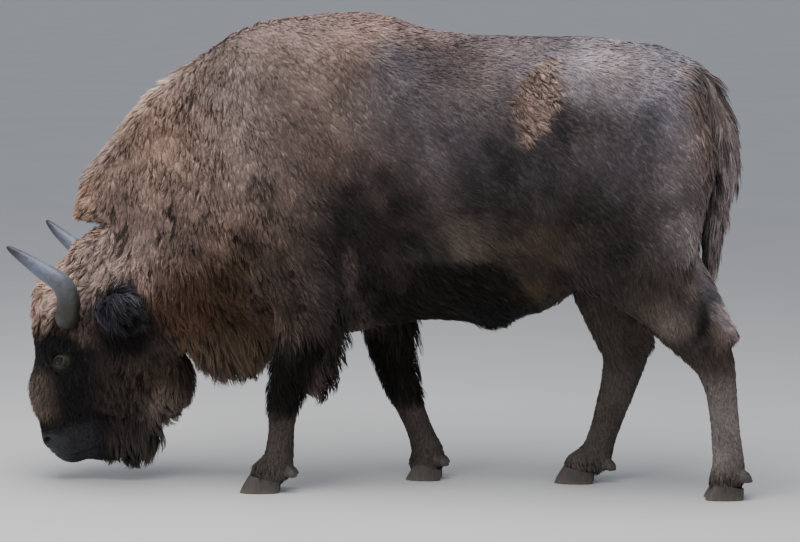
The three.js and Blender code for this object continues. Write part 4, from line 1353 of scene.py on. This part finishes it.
def make_coat(mesh, points, normals, data, material):
    """The coat's pieces, group by group, each cut across its length where it has too many triangles."""
    coat = Coat(mesh, points, normals, data, on_grid(with_ears, 150.0, -150.0))
    parts = part_of(coat.root)
    for group, names in GROUPS.items():
        index = np.nonzero(np.isin(parts, names))[0]
        triangles = np.where(coat.length[index] > LONG, 2 * LONG_ROWS - 3, 2 * SHORT_ROWS - 3)
        pieces = math.ceil(triangles.sum() / MOST_TRIANGLES)
        order = np.argsort(coat.root[index, 0] if group != "head" else coat.root[index, 2])
        for k, share in enumerate(np.array_split(index[order], pieces)):
            share = np.sort(share)
            unwrap = np.zeros((len(coat.root), 2))
            unwrap[share] = unwrapped(coat.root[share], parts[share])
            coat_piece(f"coat_{group}_{k + 1}", coat, share, unwrap, material)


# ---------------------------------------------------------------- materials


class Material:
    """A node material. A socket is fed either a value or another node's output."""

    def __init__(self, name, values):
        self.data = bpy.data.materials.new(name)
        self.data.use_nodes = True
        self.shader = self.data.node_tree.nodes["Principled BSDF"]
        self.feed(self.shader, values)

    def feed(self, node, values):
        for name, value in values.items():
            socket = next(s for s in node.inputs if s.name == name and s.enabled)
            if isinstance(value, bpy.types.NodeSocket):
                self.data.node_tree.links.new(value, socket)
            else:
                socket.default_value = value

    def node(self, kind, values, **settings):
        node = self.data.node_tree.nodes.new(f"ShaderNode{kind}")
        for name, value in settings.items():
            setattr(node, name, value)
        self.feed(node, values)
        return node

    def attribute(self, name, output="Fac"):
        return self.node("Attribute", {}, attribute_name=name).outputs[output]

    def place(self):
        return self.node("TexCoord", {}).outputs["Object"]

    def noise(self, scale, detail=4.0, roughness=0.55, stretch=(1, 1, 1), turn=(0, 0, 0)):
        mapping = self.node("Mapping", {"Vector": self.place(), "Scale": stretch, "Rotation": turn})
        values = {"Scale": scale, "Detail": detail, "Roughness": roughness}
        values["Vector"] = mapping.outputs["Vector"]
        return self.node("TexNoise", values).outputs["Fac"]

    def ramp(self, source, *stops):
        """Colours at places along the source, or greys that are given as one number."""
        node = self.node("ValToRGB", {"Fac": source})
        elements = node.color_ramp.elements
        (first, low), *others, (last, high) = [(at, (*(np.ones(3) * colour), 1)) for at, colour in stops]
        elements[0].position, elements[0].color = first, low
        elements[1].position, elements[1].color = last, high
        for at, colour in others:
            elements.new(at).color = colour
        return node.outputs["Color"]

    def mixed(self, kind, factor, a, b):
        node = self.node("Mix", {}, data_type="RGBA", blend_type=kind)
        self.feed(node, {"Factor": factor, "A": a, "B": b})
        return next(s for s in node.outputs if s.enabled)

    def bump(self, height, strength, distance, **after):
        values = {"Height": height, "Strength": strength, "Distance": distance, **after}
        normal = self.node("Bump", values).outputs["Normal"]
        self.feed(self.shader, {"Normal": normal})
        return normal


def coat_material():
    """Hair: each tuft's tone, painted shade included, with fine streaks."""
    values = {"Roughness": 0.82, "Specular IOR Level": 0.15, "Sheen Weight": 0.04, "Sheen Roughness": 0.45}
    hair = Material("coat_hair", values)
    streaks = hair.ramp(hair.noise(260.0, 3.0, stretch=(1.0, 1.0, 0.35)), (0.3, 0.68), (0.7, 1.28))
    colour = hair.mixed("MULTIPLY", 1.0, hair.attribute("tone", "Color"), streaks)
    hair.feed(hair.shader, {"Base Color": colour})
    return hair.data


def skin_material():
    """Hide under short hair, with bare wet skin on the muzzle and the rims of the lids."""
    hide = Material("skin_hide", {"Specular IOR Level": 0.4})
    tone, bare = hide.attribute("tone", "Color"), hide.attribute("bare")
    hair = hide.noise(230.0, 5.0, 0.6, stretch=(0.5, 1.0, 0.42), turn=(0, 0.6, 0))
    streaks = hide.ramp(hair, (0.28, 0.62), (0.5, 0.95), (0.72, 1.3))
    pores = hide.node("TexVoronoi", {"Scale": 190.0, "Vector": hide.place()}, feature="DISTANCE_TO_EDGE")
    cracks = hide.ramp(pores.outputs["Distance"], (0.0, 0.55), (0.12, 1.0))
    blotches = hide.ramp(hide.noise(38.0, 3.0), (0.35, 0.8), (0.7, 1.2))
    wet = hide.mixed("MULTIPLY", 1.0, hide.mixed("MULTIPLY", 1.0, tone, cracks), blotches)
    colour = hide.mixed("MIX", bare, hide.mixed("MULTIPLY", 1.0, tone, streaks), wet)
    hide.feed(hide.shader, {"Base Color": colour, "Roughness": hide.ramp(bare, (0.0, 0.8), (1.0, 0.38))})
    first = hide.bump(hair, 0.7, 0.003)
    height = hide.mixed("MULTIPLY", 1.0, cracks, hide.ramp(bare, (0.0, 0.0), (1.0, 1.0)))
    hide.bump(height, 0.6, 0.0012, Normal=first)
    return hide.data


HORN_COLOURS = {
    0.0: (28, 26, 20),
    0.34: (42, 40, 31),
    0.52: (80, 83, 90),
    0.72: (97, 103, 122),
    0.94: (52, 54, 64),
    1.0: (22, 23, 27),
}
HOOF_COLOURS = {0.0: (92, 84, 74), 0.25: (74, 68, 62), 1.0: (60, 54, 50)}
EYE_COLOURS = {
    0.0: (40, 30, 25),
    0.16: (16, 11, 8),
    0.30: (20, 13, 9),
    0.55: (26, 16, 10),
    0.64: (6, 5, 5),
    1.0: (4, 4, 5),
}


def grained(name, colours, grain, tones, factor=1.0, dull=None, relief=None, shader=None):
    """A material coloured along its "along" values, with a grain of lighter and darker streaks."""
    made = Material(name, shader or {})
    base = made.ramp(made.attribute("along"), *((at, linear(*colour)) for at, colour in colours.items()))
    streaks = made.noise(**grain)
    colour = made.mixed("MULTIPLY", factor, base, made.ramp(streaks, *tones))
    made.feed(made.shader, {"Base Color": colour})
    if dull:
        made.feed(made.shader, {"Roughness": made.ramp(streaks, *dull)})
        made.bump(streaks, *relief)
    return made.data


def horn_material():
    """Grey horn: olive brown and ridged at the base, slate blue above, dark at the tip."""
    grain = {"scale": 60.0, "detail": 5.0, "roughness": 0.6}
    tones, dull = ((0.3, 0.7), (0.7, 1.25)), ((0.3, 0.34), (0.75, 0.55))
    return grained("horn_grey", HORN_COLOURS, grain, tones, dull=dull, relief=(0.35, 0.002))


def hoof_material():
    grain = {"scale": 90.0, "detail": 5.0, "roughness": 0.65, "stretch": (1, 1, 0.4)}
    tones, dull = ((0.25, 0.55), (0.75, 1.35)), ((0.3, 0.5), (0.75, 0.72))
    return grained("hoof_horn", HOOF_COLOURS, grain, tones, dull=dull, relief=(0.5, 0.0025))


def eye_material():
    """A dark brown eye, wet all over, with a long pupil; the white shows only at its edge."""
    wet = {"Roughness": 0.09, "Specular IOR Level": 0.22, "Coat Weight": 0.12, "Coat Roughness": 0.03}
    grain = {"scale": 420.0, "detail": 2.0}
    return grained("eye_dark", EYE_COLOURS, grain, ((0.3, 0.6), (0.7, 1.3)), factor=0.6, shader=wet)


def floor_material():
    pale = Material("floor_pale", {"Roughness": 0.85})
    pale.feed(pale.shader, {"Base Color": pale.ramp(pale.noise(0.8, 3.0), (0.3, 0.50), (0.7, 0.53))})
    return pale.data


# ---------------------------------------------------------------- pieces


def add_piece(name, mesh, material, slot, *nodes):
    """Hangs a mesh on the body, in place of the solids it stands for. The slot argument is not used."""
    mesh.materials.append(material)
    piece = bpy.data.objects.new(name, mesh)
    bpy.context.scene.collection.objects.link(piece)
    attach(piece, "root")
    if nodes:
        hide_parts(*nodes)


def set_values(mesh, name, values):
    layer = mesh.attributes.new(name, "FLOAT", "POINT")
    layer.data.foreach_set("value", np.asarray(values, np.float32))


def set_tone(mesh, colours):
    rgba = np.ones((len(colours), 4), np.float32)
    rgba[:, :3] = colours
    mesh.attributes.new("tone", "FLOAT_COLOR", "POINT").data.foreach_set("color", rgba.ravel())


FLESH = ["trunk", "neck", "head", "tail", "ear_left", "ear_right"]
for leg in ("foreleg", "hindleg"):
    FLESH += [f"{leg}_{side}_{half}" for side in SIDES for half in ("upper", "lower")]
# painted shade on the skin seen between the tufts:
SKIN_SHADE = 0.92  # of the coat's colour
SKIN_DEEP_SHADE = 0.35  # taken from it under long hair


def finish_skin(mesh, points, data):
    """Colours the skin as its coat, darker as painted shade and most where the coat is deep, and puts it in
    its place.
    """
    form, colour, _, shares = data
    bare = np.maximum(shares["bare"], shares["lids"])
    shade = (1 - SKIN_DEEP_SHADE * step(14, 40, form[:, 0])) * SKIN_SHADE
    set_tone(mesh, colour * toward(shade, 1, bare)[:, None])
    set_values(mesh, "bare", bare)
    move_points(mesh, points * MM)
    add_piece("skin", mesh, skin_material(), "coat", *FLESH)


def tube_mesh(name, rings, ends, along):
    """A closed mesh of rings of points between two end points, with each ring's value kept as "along"."""
    count, around, _ = rings.shape
    points = np.concatenate((rings.reshape(-1, 3), ends))
    ring = [(a, (a + 1) % around) for a in range(around)]
    last = (count - 1) * around
    first_end, last_end = count * around, count * around + 1
    faces = [(i + a, i + b, i + around + b, i + around + a) for i in range(0, last, around) for a, b in ring]
    for a, b in ring:
        faces += [(first_end, b, a), (last_end, last + a, last + b)]
    mesh = bpy.data.meshes.new(name)
    mesh.from_pydata((points * MM).tolist(), [], faces)
    bm = bmesh.new()
    bm.from_mesh(mesh)
    bmesh.ops.recalc_face_normals(bm, faces=bm.faces)
    bm.to_mesh(mesh)
    bm.free()
    mesh.shade_smooth()
    set_values(mesh, "along", np.append(np.repeat(along, around), (along[0], along[-1])))
    return mesh


def ball_mesh(name, around, levels):
    """A mesh of a ball of radius 1, and its points."""
    bm = bmesh.new()
    bmesh.ops.create_uvsphere(bm, u_segments=around, v_segments=levels, radius=1.0)
    mesh = bpy.data.meshes.new(name)
    bm.to_mesh(mesh)
    bm.free()
    mesh.shade_smooth()
    return mesh, mesh_arrays(mesh)[0]


HORN_AROUND = 40  # points round a horn
CLAW_AROUND = 48  # and round a claw
# A claw's levels from sole to coronet, and how far each is drawn in.
CLAW_LEVELS = np.concatenate(([0.0, 0.0, 0.015], np.linspace(0.06, 1, 16), [1.0, 1.0]))
CLAW_INSETS = np.concatenate(([26, 3, 0.6], np.zeros(16), [5, 26]))
DEWCLAW_TILT, DEWCLAW_TURN = 25, 12  # degrees down and out


def horn_ridges(run):
    """Low growth rings on the lower half of a horn."""
    wave = np.sin(run * 95 + 2.2 * np.sin(run * 17)) * 0.5 + 0.5 * np.sin(run * 61)
    return 1 + 0.014 * wave * step(0.62, 0.35, run) - 0.006


def make_horns():
    material = horn_material()
    angle = np.arange(HORN_AROUND) * math.tau / HORN_AROUND
    for side, rows in both_sides(HORN).items():
        horn = Sweep(rows, steps=16, lateral=(1, 0, 0))
        middle, depth, width = horn.rows[:, :3], horn.rows[:, 3], horn.rows[:, 4]
        swell = horn_ridges(horn.run)
        rings = middle[:, None] + (
            horn.up[:, None] * (depth * swell)[:, None, None] * np.cos(angle)[:, None]
            + horn.across[:, None] * (width * swell)[:, None, None] * np.sin(angle)[:, None]
        )
        ends = middle[[0, -1]] + horn.along[[0, -1]] * (np.array((-0.6, 0.6)) * depth[[0, -1]])[:, None]
        mesh = tube_mesh(f"horn_{side}_fine", from_head(rings), from_head(ends), horn.run)
        add_piece(f"horn_{side}_fine", mesh, material, "horn", f"horn_{side}")


def make_eyes():
    material = eye_material()
    for side, sign in SIDES.items():
        mesh, ball = ball_mesh(f"eyeball_{side}", 48, 32)
        out, along, across = (ball @ axis for axis in (EYE_AXIS, EYE_LENGTHWISE, EYE_CROSSWISE))
        ring = np.hypot(along * 0.85, across * 1.15)
        cornea = 1 + 0.06 * step(0.62, 0.2, np.hypot(along, across)) * (out > 0)
        h = EYE_AT + ball * (EYE_RADIUS * cornea)[:, None]
        h[:, 1] *= -sign
        if sign > 0:
            mesh.flip_normals()
        move_points(mesh, from_head(h) * MM)
        set_values(mesh, "along", np.where(out > 0, 1 - ring, 0))
        add_piece(f"eyeball_{side}", mesh, material, "eye", f"eye_{side}")


def claw_mesh(name, foot, way):
    """One claw of a hoof: rings of points from the sole up, closed below and above."""
    (x, y), turn, length = FEET[foot]
    angle = np.arange(CLAW_AROUND) * math.tau / CLAW_AROUND
    s = np.sin(angle)
    bulge = np.sign(s) * np.abs(s) ** np.where(s > 0, 0.85, 0.42)
    rings = []
    for level, pulled in zip(CLAW_LEVELS, CLAW_INSETS):
        flare = 2.2 * math.sin(level * 2.6) - 1.8 * level
        grooves = 0.35 * math.sin(level * 46) * (0.1 < level < 0.95)
        back = TOE_SLOPE * level**1.1
        half = length / 2 - back / 2 - min(pulled * 1.9, length * 0.36) - 1.5 + grooves
        u = -np.cos(angle) * half + back / 2
        wide = max(HOOF_WIDTH / 2 - pulled - 1.0 - flare * 0.6 + grooves, 1.5)
        v = CLEFT / 2 + HOOF_WIDTH / 2 + bulge * wide
        top = HOOF_HEIGHT - (u + half) / (2 * half) * (HOOF_HEIGHT - HEEL_HEIGHT)
        z = np.clip(level * (top + 1.5), 0, None)
        px, py = turned(u, way * v, turn)
        rings.append(np.stack((x + px, y + py, z), 1))
    rings = np.array(rings)
    return tube_mesh(name, rings, rings[[0, -1]].mean(1), CLAW_LEVELS)


def dewclaw_mesh(name, foot, way):
    """A small blunt claw that points back and down."""
    (x, y, z), size = DEWCLAWS[foot]
    mesh, p = ball_mesh(name, 28, 18)
    point = 1 - 0.3 * step(0.0, 1.0, p[:, 0])
    p = p * np.stack((np.ones(len(p)), point, point), 1) * (np.array(size) * (0.84, 0.86, 0.80))
    up, ahead = turned(p[:, 2], p[:, 0], DEWCLAW_TILT)
    ahead, aside = turned(ahead, p[:, 1], -DEWCLAW_TURN * way)
    move_points(mesh, (np.stack((ahead, aside, up), 1) + (x, y + way * DEWCLAW_SPREAD, z)) * MM)
    set_values(mesh, "along", step(-30, 30, up))
    return mesh


def make_hooves():
    material = hoof_material()
    for foot in FEET:
        side = foot.split("_")[1]
        for way in (-1, 1):
            toe = f"{foot}_inner" if way * SIDES[side] < 0 else f"{foot}_outer"
            claw, dewclaw = f"claw_{toe}", f"dewclaw_{toe}_fine"
            add_piece(claw, claw_mesh(claw, foot, way), material, "hoof", f"hoof_{toe}")
            add_piece(dewclaw, dewclaw_mesh(dewclaw, foot, way), material, "hoof", f"dewclaw_{toe}")


# ---------------------------------------------------------------- stage

FLOOR_REACH = 250.0  # metres to each side


def add_light(name, at, target, size, power, colour):
    data = bpy.data.lights.new(name, "AREA")
    data.shape = "RECTANGLE"
    data.size, data.size_y = size
    data.energy = power
    data.color = colour
    light = bpy.data.objects.new(name, data)
    light.location = at
    light.rotation_euler = (Vector(target) - Vector(at)).to_track_quat("-Z", "Y").to_euler()
    bpy.context.scene.collection.objects.link(light)


def make_stage():
    mesh = bpy.data.meshes.new("floor")
    corners = [(x * FLOOR_REACH, y * FLOOR_REACH, 0) for x, y in ((-1, -1), (1, -1), (1, 1), (-1, 1))]
    mesh.from_pydata(corners, [], [(0, 1, 2, 3)])
    mesh.materials.append(floor_material())
    floor = bpy.data.objects.new("floor", mesh)
    bpy.context.scene.collection.objects.link(floor)
    world = bpy.data.worlds.new("studio")
    world.use_nodes = True
    background = world.node_tree.nodes["Background"]
    background.inputs["Color"].default_value = (0.86, 0.90, 1.0, 1)
    background.inputs["Strength"].default_value = 0.6
    bpy.context.scene.world = world
    add_light("overhead", (-0.6, -1.2, 4.6), (-0.6, -1.2, 0), (4.5, 3.5), 350, (1.0, 0.98, 0.95))
    add_light("front_fill", (-2.8, -4.6, 2.2), (0, 0, 0.8), (2.5, 2.0), 70, (1.0, 0.96, 0.92))


CAMERA_AZIMUTH, CAMERA_ELEVATION = math.radians(4.5), math.radians(7.0)
CAMERA_DISTANCE = 9.2
CAMERA_TARGET = Vector((0.05, 0.0, 0.785))
LENS, SENSOR = 115, 36  # millimetres


def make_camera():
    data = bpy.data.cameras.new("camera")
    data.lens = LENS
    data.sensor_width = SENSOR
    data.clip_end = 1000
    camera = bpy.data.objects.new("camera", data)
    level, up = math.cos(CAMERA_ELEVATION), math.sin(CAMERA_ELEVATION)
    back = Vector((math.sin(CAMERA_AZIMUTH) * level, -math.cos(CAMERA_AZIMUTH) * level, up))
    camera.location = CAMERA_TARGET + back * CAMERA_DISTANCE
    camera.rotation_euler = (-back).to_track_quat("-Z", "Y").to_euler()
    bpy.context.scene.collection.objects.link(camera)
    bpy.context.scene.camera = camera


# ---------------------------------------------------------------- the whole animal

skin_mesh, skin_points, skin_edges = make_skin()
skin_normals = vertex_normals(skin_mesh)
skin_data = coat_data(skin_points, skin_normals, skin_edges)
make_coat(skin_mesh, skin_points, skin_normals, skin_data, coat_material())
finish_skin(skin_mesh, skin_points, skin_data)
make_horns()
make_eyes()
make_hooves()
make_stage()
make_camera()
